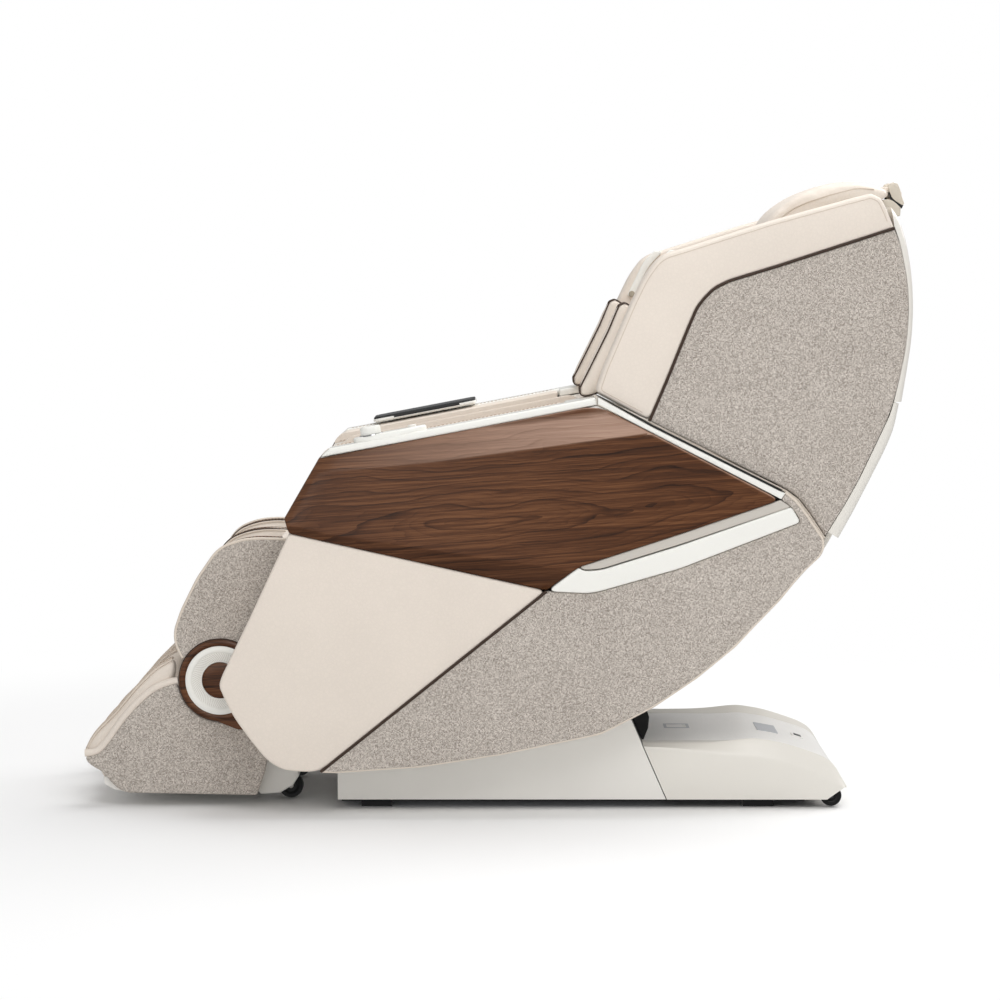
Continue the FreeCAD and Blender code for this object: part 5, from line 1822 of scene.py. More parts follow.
@dataclass
class BackCushion(Quilt):
    """Leather cushion of the backrest with its sewn channels."""

    finishes: Finishes
    front: float = -145.0
    rear: float = -70.0
    top: float = 690.0
    shoulder: float = 265.0
    rows: Sequence[float] = (0.06, 0.17, 0.28, 0.39, 0.50, 0.61)
    columns: Sequence[float] = (-0.118, 0.118)
    depth: float = 7 * MM

    def build(self) -> None:
        """Make the cushion, its channels and its piping."""
        half = node_face("seat_cushion", "y", True) - 1 * MM
        wide = node_face("back_cushion", "y", True) - 1 * MM
        face = self.front + 8
        back, split = self.rear - 1, self.shoulder
        marks = [(-6, back), (-6, face + 8), (8, face), (split + 20, face), (split + 20, back)]
        lower = Outline([along_back(*mark) for mark in marks]).rounded(14 * MM, 0.2, 20.0)
        marks = [(split + 2, back), (split + 2, face), (self.top - 40, face),
                 (self.top - 12, face + 14), (self.top - 2, back)]
        upper = Outline([along_back(*mark) for mark in marks]).rounded(16 * MM, 0.2, 20.0)
        form = Pad(lower, -half, half, draw=16 * MM, edge=34 * MM).form()
        form.join(Pad(upper, -wide, wide, draw=18 * MM, edge=40 * MM).form())
        piece = form.loose("back_cushion_cover", self.finishes.leather)
        Stuffing(voxel=9 * MM, limit=8 * MM, pressure=5.0).fill(piece, self.held)
        self.sew(piece)
        settle(piece, Body.BACK, ["back_cushion"])
        self.seams()

    def held(self, spots: np.ndarray) -> np.ndarray:
        """Hold the cover at its rear face and along its seams."""
        up, rear = back_levels(spots)
        seam = self.grip(self.seam_distance(up, spots[:, 1]))
        return np.where(rear > (self.rear - 14) * MM, 1.0, seam)

    def sew(self, piece: bpy.types.Object) -> None:
        """Press the seams into the front face."""
        spots = np.array([vertex.co for vertex in piece.data.vertices])
        up, rear = back_levels(spots)
        front = rear < (self.front + 30) * MM
        depth = self.depth * self.groove(self.seam_distance(up, spots[:, 1])) * front
        spots[:, 0] += depth * math.sin(BACK_SLOPE)
        spots[:, 2] -= depth * math.cos(BACK_SLOPE)
        piece.data.vertices.foreach_set("co", spots.astype(np.float32).ravel())

    def seams(self) -> None:
        """Lay thread along the seams."""
        rows = Form()
        level = self.front + 13.5
        for row in self.rows:
            x, z = along_back(row / MM, level)
            ends = np.array([(x * MM, column, z * MM) for column in self.columns])
            rows.join(stitches(spaced(ends, 20 * MM)))
        for column in self.columns:
            low, high = along_back(20, level), along_back(self.top - 60, level)
            ends = np.array([(low[0] * MM, column, low[1] * MM), (high[0] * MM, column, high[1] * MM)])
            rows.join(stitches(spaced(ends, 20 * MM)))
        rows.place("back_stitching", self.finishes.thread, Body.BACK, Slot.LEATHER)


@dataclass
class HeadPillow:
    """Pillow that hangs over the top of the backrest."""

    finishes: Finishes
    side_outline: Points = (
        (541, 1170), (574, 1196), (604, 1213), (648, 1229), (690, 1239), (716, 1240),
        (748, 1232), (772, 1226), (776, 1212), (755, 1200), (700, 1187), (645, 1160),
        (592, 1118), (560, 1050), (531, 990), (503, 1004), (500, 1060), (515, 1120))
    fold: Points = ((556, 1166), (580, 1186), (612, 1200), (656, 1214), (712, 1228), (744, 1225))
    pin: tuple[float, float] = (802, 1218)
    grip_start: float = 0.70
    grip_width: float = 0.03
    strap_half: float = 37.5 * MM
    loop: float = 11.5

    def build(self) -> None:
        """Make the pillow, its piping and the strap with its loop."""
        low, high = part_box("headrest_pillow")
        half = (high.y - low.y) / 2
        end = half - 3 * MM
        outline = Outline(self.side_outline).rounded(12 * MM, 0.2, 40.0)
        pad = Pad(outline, -end, end, draw=9 * MM, edge=32 * MM, dome=2 * MM, step=10 * MM)
        piece = pad.form().loose("pillow_cover", self.finishes.leather)
        Stuffing(voxel=6 * MM, limit=6 * MM).fill(piece, self.held)
        settle(piece, Body.PILLOW, ["headrest_pillow"])
        rim = outline.sampled(8 * MM).inset(3.4 * MM).points
        seams = Form()
        for y in (-half + 17 * MM, half - 17 * MM):
            seams.join(tube(at_level(rim, y), 1.6 * MM, 8, closed=True))
        seams.place("pillow_piping", self.finishes.cream_piping, Body.PILLOW, Slot.LEATHER)
        # Darker tubes along the folds at the pillow's ends, painted as the shade in the creases
        fold = curved(self.fold, 60 * MM, 8 * MM)
        fold_shades = Form()
        for y in (-half + 3.4 * MM, half - 3.4 * MM):
            fold_shades.join(tube(at_level(fold, y), 1.3 * MM, 8))
        fold_shades.place("pillow_fold_shade", self.finishes.painted_shade_leather, Body.PILLOW, Slot.LEATHER)
        self.strap()

    def held(self, spots: np.ndarray) -> np.ndarray:
        """Hold the pillow where it lies on the strap."""
        return np.clip((spots[:, 0] - self.grip_start) / self.grip_width, 0, 1)

    def strap(self) -> None:
        """Make the leather strap that loops round the pin."""
        x, z = self.pin
        turns = np.radians(np.arange(85, -215, -25))
        around = [(x + self.loop * math.cos(turn), z + self.loop * math.sin(turn)) for turn in turns]
        outside = [(742, 1233), (780, 1232), *around, (776, 1223), (745, 1224)]
        outline = Outline(outside).rounded(4 * MM, 0.02, 60.0)
        half = self.strap_half
        strap = Pad(outline, -half, half, draw=1.2 * MM, edge=3 * MM, step=5 * MM)
        strap.form().place("pillow_strap", self.finishes.leather, Body.PILLOW, Slot.LEATHER,
                           ["headrest_pillow"], crease=PANEL_CREASE)


@dataclass
class SeatCushion(Quilt):
    """Leather seat cushion with its sewn panels."""

    finishes: Finishes
    profile: Points = (
        (-362, 392), (-364, 466), (-355, 496), (-322, 506), (-150, 488),
        (100, 462), (246, 458), (262, 448), (270, 392))
    rows: Sequence[float] = (-0.235, -0.06, 0.115)
    columns: Sequence[float] = (-0.115, 0.115)
    depth: float = 6 * MM
    thread_drop: float = 4.6 * MM
    foot: float = 0.402

    def build(self) -> None:
        """Make the cushion and its stitching."""
        half = node_face("seat_cushion", "y", True) - 1.5 * MM
        outline = Outline(self.profile).rounded(14 * MM, 0.3, 20.0)
        pad = Pad(outline, -half, half, draw=14 * MM, edge=34 * MM)
        piece = pad.form().loose("seat_cushion_cover", self.finishes.leather)
        Stuffing(voxel=8 * MM, limit=8 * MM, pressure=5.0).fill(piece, self.held)
        self.sew(piece)
        settle(piece, Body.SEAT, ["seat_cushion"])
        self.stitching()

    def top(self, x: np.ndarray) -> np.ndarray:
        """Height of the cushion's top before it swells."""
        line = np.array(self.profile[2:7], float) * MM
        return np.interp(x, line[:, 0], line[:, 1])

    def held(self, spots: np.ndarray) -> np.ndarray:
        """Hold the cover at its foot and along its seams."""
        seam = self.grip(self.seam_distance(spots[:, 0], spots[:, 1]))
        top = spots[:, 2] > self.top(spots[:, 0]) - 30 * MM
        return np.where(spots[:, 2] < self.foot, 1.0, seam * top)

    def sew(self, piece: bpy.types.Object) -> None:
        """Press the seams into the top."""
        spots = np.array([vertex.co for vertex in piece.data.vertices])
        top = spots[:, 2] > self.top(spots[:, 0]) - 25 * MM
        away = self.seam_distance(spots[:, 0], spots[:, 1])
        spots[:, 2] -= self.depth * self.groove(away) * top
        piece.data.vertices.foreach_set("co", spots.astype(np.float32).ravel())

    def stitching(self) -> None:
        """Lay thread along the seams."""
        rows = Form()
        for row in self.rows:
            y = np.linspace(self.columns[0], self.columns[1], 14)
            x = np.full(len(y), row)
            rows.join(stitches(np.column_stack([x, y, self.top(x) - self.thread_drop])))
        for column in self.columns:
            x = np.linspace(-0.33, 0.23, 30)
            line = np.column_stack([x, self.top(x) - self.thread_drop])
            rows.join(stitches(at_level(line, column)))
        rows.place("seat_stitching", self.finishes.thread, Body.SEAT, Slot.LEATHER)


@dataclass
class Hanger:
    """Bracket at the top of the back that holds the pillow's pin."""

    finishes: Finishes
    hook: Points = (
        (787, 1222), (783.5, 1231), (787, 1239), (795, 1242), (803, 1239), (808, 1230),
        (811, 1216), (817, 1200), (814, 1194), (801, 1202), (791, 1210))
    # Outline of the black piece under the hooks, painted as their shadow
    slot: Points = (
        (786, 1222), (789, 1207), (799, 1199), (812, 1189), (815, 1196), (801, 1206), (792, 1213))
    foot: Points = (
        (776, 1207), (785, 1208), (793, 1206), (801, 1200), (810, 1191),
        (809, 1173), (792, 1175), (768, 1180), (758, 1194))

    def build(self) -> None:
        """Make the hooks, a black piece under them painted as their shadow, and the foot."""
        low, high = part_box("pillow_bracket")
        hanger, body = self.finishes.hanger, Body.BACK
        outline = Outline(self.foot).rounded(3 * MM, 0.2, 40.0)
        foot = Pad(outline, low.y, high.y, draw=2 * MM, edge=4 * MM, step=5 * MM)
        foot.form().place("hanger_foot", hanger, body, Slot.CREAM, ["pillow_bracket"])
        hooks = Form()
        slots = Form()
        for near, far in ((low.y, low.y + 11 * MM), (high.y - 11 * MM, high.y)):
            outline = Outline(self.hook).rounded(3 * MM, 0.2, 40.0)
            hooks.join(Pad(outline, near, far, draw=1.6 * MM, edge=3 * MM, step=5 * MM).form())
            inner, outer = near + 0.7 * MM, far - 0.7 * MM
            # Black piece under each hook: painted shadow
            slots.join(Pad(Outline(self.slot), inner, outer, draw=0, edge=1 * MM).form())
        hooks.place("hanger_hooks", hanger, body, Slot.CREAM)
        slots.place("hanger_slot_shadow", self.finishes.black, body, Slot.BLACK)
        start, end = low.y / MM + 1, high.y / MM - 1
        pin = lathe([(0, start), (4, start), (4, end), (0, end)], 24)
        pin.moved(turned_to_side(1, HeadPillow.pin[0] * MM, HeadPillow.pin[1] * MM, 0.0))
        pin.place("hanger_pin", self.finishes.bright, body, Slot.BRIGHT)


RING = (-554.0, 256.0)
RING_RADIUS = 81.0


def ring_arc(radius: float, angles: Iterable[float]) -> list[tuple[float, float]]:
    """Points round the foot rest's hinge, in millimetres."""
    return [
        (RING[0] + radius * math.cos(math.radians(a)), RING[1] + radius * math.sin(math.radians(a)))
        for a in angles
    ]


SHIN = [(-479, 538), (-515, 533), (-556, 517), (-597, 458), (-629, 394), (-643, 353), (-641, 325)]
LEG_SIDE = [
    (-392, 528), (-422, 535), (-479, 537), *SHIN[1:], (-628, 300),
    *ring_arc(RING_RADIUS, (150, 120, 95, 70, 48)),
    (-474, 335), (-432, 400), (-402, 450), (-384, 490), (-382, 512),
]
CALF_REAR = [(-512.5, 348.5), (-458.5, 430.5), (-428.5, 480.5), (-420.5, 505.5)]
LEG_PAD = [(-414.5, 530), (-430, 536), *SHIN, (-628, 306), *CALF_REAR]
LEG_LINING = [(-414.5, 530), (-438, 534), (-446, 505), (-486, 425), (-541, 340), *CALF_REAR]
LEG_SEAM = [(-432, 536), *SHIN, (-632, 312)]
FOOT_TOP = [
    (-642, 249), (-659, 245), (-686, 233), (-718, 205),
    (-746, 173), (-776, 130), (-792, 112), (-806, 105),
]
FOOT_LOW = [
    (-823, 102), (-819, 91), (-806, 81), (-790, 73), (-766, 44),
    (-745, 30), (-483, 25), (-461, 87), (-456, 150),
]
FOOT_SIDE = [*FOOT_TOP, *FOOT_LOW, *ring_arc(RING_RADIUS + 4, (-35, -65, -90, -120, -150, -172))]
INSTEP = [(-685, 279), (-727, 237), (-766, 189), (-809, 147), (-827, 110)]
FOOT_PAD = [
    (-650, 298), *INSTEP, (-812, 90), (-788, 62), (-500, 58), (-484, 92), (-480, 150),
    *ring_arc(94, (-32, -65, -90, -120, -150, -178, 165)),
]
FOOT_LINING = [
    (-800, 84), (-788, 62), (-500, 58), (-484, 92), (-480, 150),
    (-504, 160), (-506, 90), (-600, 97), (-770, 119),
]
FOOT_SEAM = [(-652, 297), *INSTEP, (-815, 94)]
WELL_INNER = 26 * MM
WELL_OUTER = 190 * MM


@dataclass
class Bolsters:
    """Row of leather bolsters on a lining, with a well for a leg between each two."""

    finishes: Finishes
    name: str
    body: Body
    outline: Points
    lining: Points
    node: str
    seam_run: Points
    seam_shade_finish: bpy.types.Material
    half: float = 0.235
    gap: float = 1.5 * MM
    seam_inset: float = 11 * MM
    held_width: float = 12 * MM

    def build(self) -> None:
        """Make the lining, the three bolsters and their seams."""
        lining = Outline(self.lining).rounded(4 * MM, 0.2, 40.0)
        end = self.half - 1 * MM
        pad = Pad(lining, -end, end, draw=1 * MM, edge=3 * MM, step=12 * MM).form()
        name, leather = f"{self.name}_lining", self.finishes.leather
        pad.place(name, leather, self.body, Slot.LEATHER, [self.node], crease=PAD_CREASE)
        self.bolster("left", -self.half, -WELL_OUTER)
        self.bolster("middle", -WELL_INNER, WELL_INNER)
        self.bolster("right", WELL_OUTER, self.half)

    def bolster(self, part: str, low: float, high: float) -> None:
        """Make one bolster with piping, stitching and a dark tube along each seam, painted as the shade
        in the seam.
        """
        outline = Outline(self.outline).rounded(16 * MM, 0.25, 32.0)
        near, far = low + self.gap, high - self.gap
        pad = Pad(outline, near, far, draw=6 * MM, edge=16 * MM, dome=1.2 * MM, step=9 * MM)
        piece = pad.form().loose(f"{self.name}_{part}", self.finishes.leather)
        Stuffing(voxel=5 * MM, limit=2.5 * MM).fill(piece, self.held)
        settle(piece, self.body, [self.node])
        run = curved(self.seam_run, 0.25, 8 * MM)
        inward = leftward(np.gradient(run, axis=0))
        dark = Form()
        thread = Form()
        pale = Form()
        for y, way in ((low + self.seam_inset, -1.0), (high - self.seam_inset, 1.0)):
            # Dark tube along the seam: painted shade
            dark.join(tube(at_level(run + inward * 0.5 * MM, y), 1.5 * MM, 8))
            edge = at_level(run + inward * 3.0 * MM, y + way * 6.5 * MM)
            pale.join(tube(edge, 1.8 * MM, 8))
            edge = at_level(run - inward * 0.6 * MM, y - way * 5.0 * MM)
            thread.join(stitches(edge, pitch=7 * MM, length=4 * MM))
        for form, trim, material in (
            # The seams trim is the painted shade along the seams
            (dark, "seams", self.seam_shade_finish),
            (pale, "piping", self.finishes.cream_piping),
            (thread, "stitching", self.finishes.thread),
        ):
            form.place(f"{self.name}_{part}_{trim}", material, self.body, Slot.LEATHER)

    def held(self, spots: np.ndarray) -> np.ndarray:
        """Hold the bolster where it lies on the lining."""
        away = Outline(self.lining).distance(spots[:, [0, 2]])
        return np.clip(1 - away / self.held_width, 0, 1)


@dataclass
class LegRest:
    """Leg rest: cloth sides, bolsters and the rings at the foot rest's hinge."""

    finishes: Finishes

    def build(self) -> None:
        """Make the leg rest's pieces."""
        # The brown of the calf bolsters' seam tubes is painted shade in the seams
        Bolsters(self.finishes, "calf_bolster", Body.LEG, LEG_PAD, LEG_LINING, "calf_pads", LEG_SEAM,
                 self.finishes.piping).build()
        outline = Outline(LEG_SIDE).rounded(10 * MM, 0.3, 40.0)
        edge = curved(LEG_SIDE[1:10], 0.2, 9 * MM)
        for name in SIDES:
            cheek = Cheek(self.finishes, name, Body.LEG, "leg", "calf")
            cheek.cloth(outline)
            cheek.rim(edge, 3.5 * MM, 3.2 * MM, 10, "piping", self.finishes.cream_piping)
            PivotRing(self.finishes, name).build()


@dataclass
class Cheek(Sided):
    """Cloth side of the leg rest or of the foot rest."""

    finishes: Finishes
    name: str
    body: Body
    part: str
    node: str

    def __post_init__(self) -> None:
        """Find the faces between which the cloth lies."""
        self.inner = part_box(f"{self.node}_pads")[1].y + 0.6 * MM
        self.outer = node_face(f"{self.node}_side_panels", "y", True)

    def cloth(self, outline: Outline) -> None:
        """Make the cloth panel."""
        panel = Panel(
            outline, self.inner, self.outer, rim=5 * MM, crown=1.5 * MM, reach=60 * MM, cell=14 * MM)
        self.fix(panel.form(on_side(self.side)), f"{self.part}_cloth", self.finishes.tweed, Slot.TWEED,
                 f"{self.node}_side_panels", PANEL_CREASE)

    def rim(
        self,
        edge: np.ndarray,
        drop: float,
        radius: float,
        sides: int,
        trim: str,
        material: bpy.types.Material,
    ) -> None:
        """Lay a round trim along an edge of the cloth.

        Args:
            edge: points of the side view.
            drop: distance of the trim's middle from the panel's outer face.
            radius: radius of the trim.
            sides: points round it.
            trim: its name.
            material: its finish.
        """
        line = on_side(self.side)(edge, np.full(len(edge), self.outer - drop))
        self.fix(tube(line, radius, sides), f"{self.part}_{trim}", material, Slot.LEATHER)


@dataclass
class PivotRing(Sided):
    """Trim at the foot rest's hinge: wood-look ring, white ring with fins, wood-look centre."""

    finishes: Finishes
    name: str
    body: Body = Body.LEG
    node: str = "pivot_rings"
    steps: int = 96
    gap_radius: float = 82.0
    fins: int = 72
    fin_start: float = 38.5
    fin_end: float = 54.5
    fin_sweep: float = 0.22

    def build(self) -> None:
        """Make the rings."""
        base = node_face("calf_side_panels", "y", True)
        face = node_face("pivot_rings", "y", True) - base
        put = turned_to_side(self.side, RING[0] * MM, RING[1] * MM, base)
        top = face / MM
        walnut = self.finishes.walnut
        frame_ring = lathe([
            (68.5, -1), (68.5, top - 2.2), (70, top - 1), (72, top - 0.2), (76, top),
            (79.5, top - 1), (81, top - 3), (81, -1), (68.5, -1)], self.steps)
        frame_ring.join(self.tail(top)).moved(put)
        self.fix(frame_ring, "ring_frame", walnut, Slot.WALNUT, self.node)
        radius = self.gap_radius
        turns = round_turn(80)
        around = np.array([(radius * math.cos(turn), radius * math.sin(turn), 0.4) for turn in turns])
        gap = tube(around * MM, 1.1 * MM, 6, closed=True).moved(put)
        self.fix(gap, "ring_shadow_gap", self.finishes.piping, Slot.LEATHER)
        white = lathe([
            (36.2, 0), (36.2, top - 4.2), (37.5, top - 3.6), (55, top - 2.6), (57, top - 0.6),
            (59, top - 0.2), (66.5, top - 0.4), (68.3, top - 1.6), (68.3, 0), (36.2, 0)], self.steps)
        self.fix(white.moved(put), "ring_white", self.finishes.white, Slot.WHITE, self.node)
        fins = Form()
        radii = np.linspace(self.fin_start, self.fin_end, 6)
        levels = top - 3.5 + (radii - 37.5) / 17.5
        for turn in round_turn(self.fins):
            angles = turn + np.linspace(0, self.fin_sweep, 6)
            path = np.column_stack([radii * np.cos(angles), radii * np.sin(angles), levels]) * MM
            fins.join(tube(path, 0.45 * MM, 5))
        self.fix(fins.moved(put), "ring_fins", self.finishes.recess, Slot.WHITE)
        centre = lathe([
            (0, top - 1.0), (20, top - 1.1), (33, top - 1.6), (35.2, top - 2.6),
            (35.6, top - 5), (35.6, 0), (0, 0)], self.steps)
        self.fix(centre.moved(put), "ring_centre", walnut, Slot.WALNUT, self.node)

    def tail(self, top: float) -> Form:
        """Tail of the outer ring towards the rear and the floor."""
        turns = np.radians(np.linspace(-114, -50, 9))
        outside = [(78 * math.cos(turn), 78 * math.sin(turn)) for turn in turns]
        outline = Outline([*outside, (66, -70), (74, -96), (41, -101)]).rounded(4 * MM, 0.1, 40.0)
        panel = Panel(outline, 0.8 * MM, (top - 1.4) * MM, rim=2 * MM, cell=10 * MM)
        return panel.form(lambda plane, height: np.column_stack([plane, height]))


@dataclass
class FootRest:
    """Foot rest: cloth sides, bolsters, shell trims and castors."""

    finishes: Finishes
    guard: Points = (
        (-486, 60), (-466, 90), (-440, 90), (-404, 76), (-402, 56), (-414, 37), (-440, 21), (-484, 18))

    def build(self) -> None:
        """Make the foot rest's pieces."""
        # The darker cream of the foot bolsters' seam tubes is painted shade in the seams
        Bolsters(self.finishes, "foot_bolster", Body.FOOT, FOOT_PAD, FOOT_LINING, "foot_pads",
                 FOOT_SEAM, self.finishes.painted_shade_leather).build()
        outline = Outline(FOOT_SIDE).rounded(8 * MM, 0.3, 40.0)
        edge = curved([(-637, 249.5), *FOOT_TOP[1:], (-824, 104)], 0.2, 9 * MM)
        welt = edge - leftward(np.gradient(edge, axis=0)) * 5.0 * MM
        guard = Outline(self.guard).rounded(10 * MM, 0.3, 20.0)
        for name in SIDES:
            cheek = Cheek(self.finishes, name, Body.FOOT, "foot", "foot")
            cheek.cloth(outline)
            cheek.rim(welt, 8 * MM, 7.4 * MM, 14, "welt", self.finishes.leather)
            low, high = cheek.span(150 * MM, 196 * MM)
            heel = Pad(guard, low, high, draw=3 * MM, edge=7 * MM, step=8 * MM)
            cheek.fix(heel.form(), "castor_guard", self.finishes.cream, Slot.CREAM)


@dataclass
class Wheel:
    """Rubber tyre on a black hub."""

    finishes: Finishes
    node: str
    bore: float = 5.2
    hub_share: float = 0.62
    steps: int = 56

    def build(self) -> None:
        """Make the tyre and its hub."""
        low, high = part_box(self.node)
        centre = (low + high) / 2
        radius = (high.z - low.z) / 2 / MM
        half = (high.y - low.y) / 2 / MM
        hub = radius * self.hub_share
        put = turned_to_side(1.0, centre.x, centre.z, centre.y)
        side = [(hub, 1.0), (hub + 1.2, 0.0), (radius - 3.5, 0.0), (radius - 1, 1.4), (radius, 4.0)]
        tyre = lathe(self.both_ways(side, half), self.steps).moved(put)
        side = [(self.bore, 1.5), (self.bore + 3, 1.2), (hub - 2.5, 3.0), (hub, 1.6)]
        rim = lathe(self.both_ways(side, half), self.steps).moved(put)
        body = Body(self.node)
        tyre.place(f"{self.node}_tyre", self.finishes.rubber, body, Slot.RUBBER, [self.node])
        rim.place(f"{self.node}_hub", self.finishes.black, body, Slot.RUBBER, [self.node])

    def both_ways(self, side: Points, half: float) -> Points:
        """Profile of (radius, depth) points, the same at both faces of the wheel.

        Args:
            side: points of one face, from the inside out, with their depth behind it.
            half: half of the wheel's width.

        Returns:
            Closed profile of (radius, height) points.
        """
        low = [(radius, -half + depth) for radius, depth in side]
        high = [(radius, half - depth) for radius, depth in reversed(side)]
        return [*low, *high, low[0]]


ARM_SLOPE = math.atan2(CAP_REAR[1] - CAP_FRONT[1], CAP_REAR[0] - CAP_FRONT[0])


def plate(start: float, end: float, half: float) -> Outline:
    """Rectangle between two lengths, as wide to both sides of the middle."""
    return Outline([(start, -half), (end, -half), (end, half), (start, half)])


@dataclass
class Controls:
    """Console with its knob and button on the left arm, remote on its dock on the right arm."""

    finishes: Finishes
    centre: float = -212.0
    knob_ahead: float = 36.0
    button_behind: float = 44.0
    oval_half: tuple[float, float] = (72, 24.5)
    squareness: float = 0.8
    knob_low: float = 10.4
    knob_high: float = 26.4
    ribs: int = 48
    rib_ring: float = 19.4
    remote_front: float = -270.0
    remote_lift: float = 3.4

    def build(self) -> None:
        """Make the controls."""
        low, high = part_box("control_console")
        middle = (low.y + high.y) / 2
        put = on_arm(self.centre * MM, middle, arm_height(self.centre) * MM, ARM_SLOPE)
        turns = np.radians(np.arange(0, 360, 8))
        oval = np.column_stack([np.cos(turns), np.sin(turns)])
        oval = np.copysign(np.abs(oval) ** self.squareness, oval) * self.oval_half
        base = Panel(Outline(oval), -1 * MM, 10 * MM, rim=4 * MM, crown=0.0, cell=8 * MM).form(put)
        base.place("console_body", self.finishes.white, Body.SEAT, Slot.WHITE, ["control_console"])
        ring = lathe([(20.6, 9), (20.6, 10.6), (21.4, 11.2), (22.8, 10.8), (23.4, 9), (20.6, 9)], 64)
        x = self.centre - self.knob_ahead * math.cos(ARM_SLOPE)
        z = arm_height(self.centre) - self.knob_ahead * math.sin(ARM_SLOPE)
        place = on_arm(x * MM, middle, z * MM, ARM_SLOPE)
        ring.moved(lambda p: place(p[:, :2], p[:, 2]))
        ring.place("console_ring", self.finishes.bright, Body.SEAT, Slot.BRIGHT)
        self.knob(place)
        self.button(middle)
        self.remote()

    def knob(self, place: Mapping) -> None:
        """Make the ribbed knob with its dished top."""
        low, high = self.knob_low, self.knob_high
        knob = lathe([
            (0, high - 1.6), (12, high - 1.2), (15, high - 0.1), (17.5, high), (19.2, high - 1.2),
            (19.6, high - 3), (19.6, low + 1), (19, low), (0, low)], 96)
        for turn in round_turn(self.ribs):
            spot = np.array([math.cos(turn), math.sin(turn)]) * self.rib_ring * MM
            path = np.array([(*spot, (low + 1.5) * MM), (*spot, (high - 4) * MM)])
            knob.join(tube(path, 0.55 * MM, 6))
        knob.moved(lambda p: place(p[:, :2], p[:, 2]))
        knob.place("knob_cap", self.finishes.white, Body.KNOB, Slot.WHITE, ["control_knob"])

    def button(self, middle: float) -> None:
        """Make the round button."""
        at = self.centre + self.button_behind
        place = on_arm(at * MM, middle, arm_height(at) * MM, ARM_SLOPE)
        button = lathe([(0, 13.4), (5, 13.6), (7.2, 14.2), (8, 13.4), (8, 6), (0, 6)], 48)
        button.moved(lambda p: place(p[:, :2], p[:, 2]))
        button.place("button_cap", self.finishes.cream, Body.BUTTON, Slot.CREAM, ["control_button"])

    def remote(self) -> None:
        """Make the remote's body and its screen."""
        low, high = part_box("tablet")
        middle = (low.y + high.y) / 2
        height = arm_height(self.remote_front, self.remote_lift)
        put = on_arm(self.remote_front * MM, middle, height * MM, ARM_SLOPE)
        shape = plate(1, 224, 60).rounded(14 * MM, 0.1, 30.0)
        body = Panel(shape, 2.6 * MM, 8.0 * MM, rim=2 * MM, cell=14 * MM).form(put)
        under = Panel(shape.inset(4 * MM), 0.2 * MM, 3.0 * MM, rim=2 * MM, cell=14 * MM)
        bezel = Panel(shape.inset(1.5 * MM), 6.5 * MM, 11.4 * MM, rim=1.6 * MM, cell=14 * MM).form(put)
        grip = Panel(plate(46, 188, 60.5), 4.4 * MM, 8.6 * MM, rim=0.4 * MM, cell=16 * MM)
        face = plate(10, 215, 52).rounded(6 * MM, 0.1, 30.0)
        glass = Panel(face, 10.6 * MM, 11.9 * MM, rim=0.4 * MM, cell=16 * MM).form(put)
        for form, part, material in (
            (body.join(under.form(put)), "body", self.finishes.white),
            (bezel.join(grip.form(put)), "bezel", self.finishes.black),
            (glass, "screen", self.finishes.screen),
        ):
            form.place(f"remote_{part}", material, Body.TABLET, Slot.BLACK, ["tablet"])


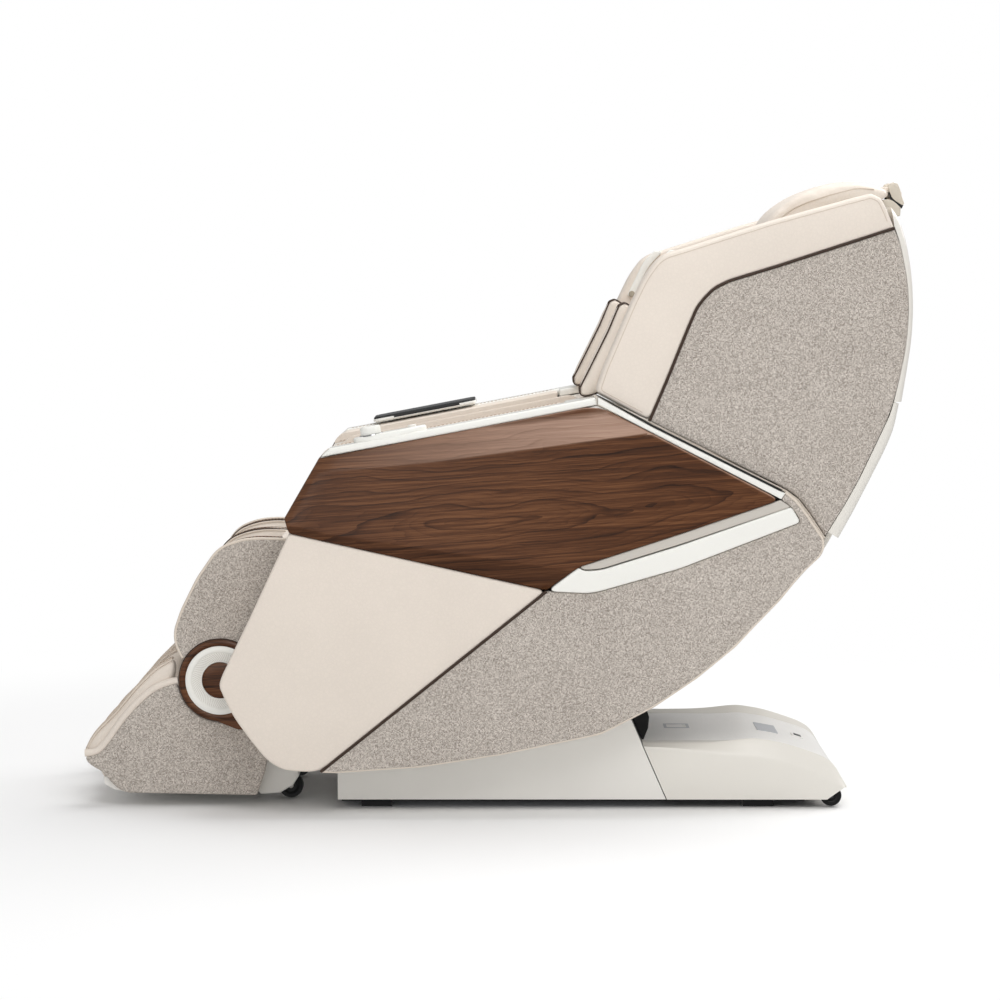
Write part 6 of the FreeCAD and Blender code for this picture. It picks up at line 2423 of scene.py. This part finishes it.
@dataclass
class RearBase:
    """Rear half of the base: moulded cover with its two cheeks, silver plate, label and cord socket."""

    finishes: Finishes
    # Place and height of the cheek's crest, drop of its outer bevel, drop to the plate
    crest: Sequence[tuple[float, float, float, float]] = (
        (281, 129, 5, 2), (340, 129, 8, 2), (400, 129.5, 13, 2.5), (440, 131.5, 19, 5),
        (474, 135.5, 27, 8), (505, 138.5, 31, 9), (555, 130.5, 32, 8.5), (594, 119, 32, 7.5),
        (637, 104, 32, 6), (655, 94, 32, 5), (664, 86, 30, 4), (675, 66, 18, 2), (687, 45.5, 4, 0.5))
    crest_middle: float = 235.0
    plate_half: float = 187.0
    foot: float = 18.0
    seam_foot: tuple[float, float] = (330.0, 18.0)
    seam_slope: float = -70 / 160
    skew_length: float = 130.0
    heel: float = 649.0
    heel_slope: float = 27 / 38
    plate_end: float = 669.0
    label_place: float = 547.0
    socket_place: float = 612.0

    def build(self) -> None:
        """Make the cover, the plate, the label and the socket."""
        self.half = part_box("base_rear_cover")[1].y / MM
        self.run = self.softened()
        self.cover()
        self.plate()
        self.underside_shade()
        self.label()
        self.socket()

    def softened(self) -> np.ndarray:
        """Close-set stations along the crest, with soft bends."""
        keys = np.array(self.crest, float)
        steps = np.concatenate([[0.0], np.cumsum(lengths(np.diff(keys[:, :2], axis=0)))])
        marks = np.linspace(0, steps[-1], 130)
        run = np.column_stack([np.interp(marks, steps, column) for column in keys.T])
        weights = np.hanning(17)[1:-1]
        weights = weights / weights.sum()
        longer = np.pad(run, ((7, 7), (0, 0)), mode="reflect", reflect_type="odd")
        return np.column_stack([np.convolve(column, weights, "valid") for column in longer.T])

    def skewed(self, x: float, points: np.ndarray, play: float) -> np.ndarray:
        """Lean a station's points onto the slanted seam at the cover's front end.

        Args:
            x: the station's place.
            points: its points' widths and heights.
            play: gap to the seam.

        Returns:
            The points in metres.
        """
        start = self.crest[0][0]
        seam = self.seam_foot[0] + (points[:, 1] - self.seam_foot[1]) * self.seam_slope
        share = max(0.0, 1 - (x - start) / self.skew_length)
        return np.column_stack([x + (seam - start + play) * share, points[:, 0], points[:, 1]]) * MM

    def mirrored(self, x: float, side: Points, play: float) -> np.ndarray:
        """Ring of one station from the points of its right half, which end on the middle."""
        half = np.array(side, float)
        both = np.vstack([half, half[-2::-1] * np.array([-1.0, 1.0])])
        return self.skewed(x, both, play)

    def underside_shade(self) -> None:
        """Make black strips under the covers at both sides, painted as the shade under the base."""
        edge = Outline([(-318, 2), (612, 2), (612, 24), (-318, 24)])
        form = Form()
        for side in SIDES.values():
            near, far = sorted((side * 170 * MM, side * 178 * MM))
            form.join(Pad(edge, near, far, draw=0.0, edge=1 * MM, step=80 * MM).form())
        form.place("underside_shade_strips", self.finishes.black, Body.BASE, Slot.BLACK)

    def cover(self) -> None:
        """Make the cream cover."""
        edge, crest, plate = self.half, self.crest_middle, self.plate_half
        rings = []
        for x, top, bevel, drop in self.run:
            low = self.foot + max(0.0, (x - self.heel) * self.heel_slope)
            side = [
                (edge, low),
                (edge, max(low + 0.3, top - bevel - 9)),
                (edge - 0.5, max(low + 0.5, top - bevel - 4)),
                (edge - 2, top - bevel),
                (edge - 6, top - bevel * 0.78),
                (edge - 12, top - bevel * 0.42),
                (edge - 17, top - bevel * 0.13),
                (crest, top),
                (crest - 5, top - drop * 0.06),
                (crest - 14, top - drop * 0.28),
                (crest - 28, top - drop * 0.68),
                (plate + 3, top - drop * 0.96),
                (plate + 1.2, top - drop - 0.2),
                (plate + 0.9, top - drop - 3.4),
                (0, top - drop - 3.4),
            ]
            rings.append(self.mirrored(x, side, 1.2))
        cover = Form().loft(rings)
        cover.place("rear_base_cover", self.finishes.shell, Body.BASE, Slot.CREAM, ["base_rear_cover"])

    def plate(self) -> None:
        """Make the silver plate between the cheeks."""
        half = self.plate_half
        rings = []
        for x, top, _, drop in self.run[self.run[:, 0] < self.plate_end]:
            level = top - drop
            side = [(half, level - 3), (half, level - 0.9), (half - 0.7, level - 0.3),
                    (half - 3, level), (half - 40, level + 0.2), (0, level + 0.4)]
            rings.append(self.mirrored(x, side, 1.8))
        Form().loft(rings).place(
            "silver_base_plate", self.finishes.silver, Body.BASE, Slot.SILVER, ["base_top_plate"])

    def on_plate(self, x: float) -> Mapping:
        """Mapping of a plan view onto the plate round a place."""
        level = self.run[:, 1] - self.run[:, 3] + 0.4
        here, ahead = (float(np.interp(at, self.run[:, 0], level)) for at in (x, x + 4))
        return on_arm(x * MM, 0.0, here * MM, math.atan2(ahead - here, 4))

    def label(self) -> None:
        """Make the bare label on the plate."""
        outline = plate(-22, 22, 52).rounded(3 * MM)
        film = Panel(outline, -1.5 * MM, 0.7 * MM, rim=0.3 * MM, cell=30 * MM)
        form = film.form(self.on_plate(self.label_place))
        form.place("plate_label", self.finishes.label, Body.BASE, Slot.SILVER)

    def socket(self) -> None:
        """Make the cord's socket in its raised rim."""
        put = self.on_plate(self.socket_place)
        outline = plate(-13, 13, 19).rounded(5 * MM)
        rim = Panel(outline, -4 * MM, 2.4 * MM, rim=1.4 * MM, cell=20 * MM).form(put)
        rim.place("socket_rim", self.finishes.silver, Body.BASE, Slot.SILVER)
        outline = plate(-8, 8, 13).rounded(3 * MM)
        hole = Panel(outline, -3 * MM, 2.6 * MM, rim=0.2 * MM, cell=20 * MM).form(put)
        hole.place("socket_hollow", self.finishes.black, Body.BASE, Slot.BLACK, ["power_inlet"])




def main() -> None:
    """Build the chair, piece by piece."""
    logging.basicConfig(level=logging.INFO, format="%(name)s: %(message)s")
    Studio().build()
    finishes = Finishes()
    for name in SIDES:
        SidePod(finishes, name).build()
        Wing(finishes, name).build()
    for assembly in (
        BackShell, BackCushion, HeadPillow, Hanger, SeatCushion, LegRest, FootRest, Controls, RearBase
    ):
        assembly(finishes).build()
    for place in ("rear", "front"):
        for name in SIDES:
            Wheel(finishes, f"{place}_wheel_{name}").build()
    Kept(finishes).build()


if __name__ == "__main__":
    main()
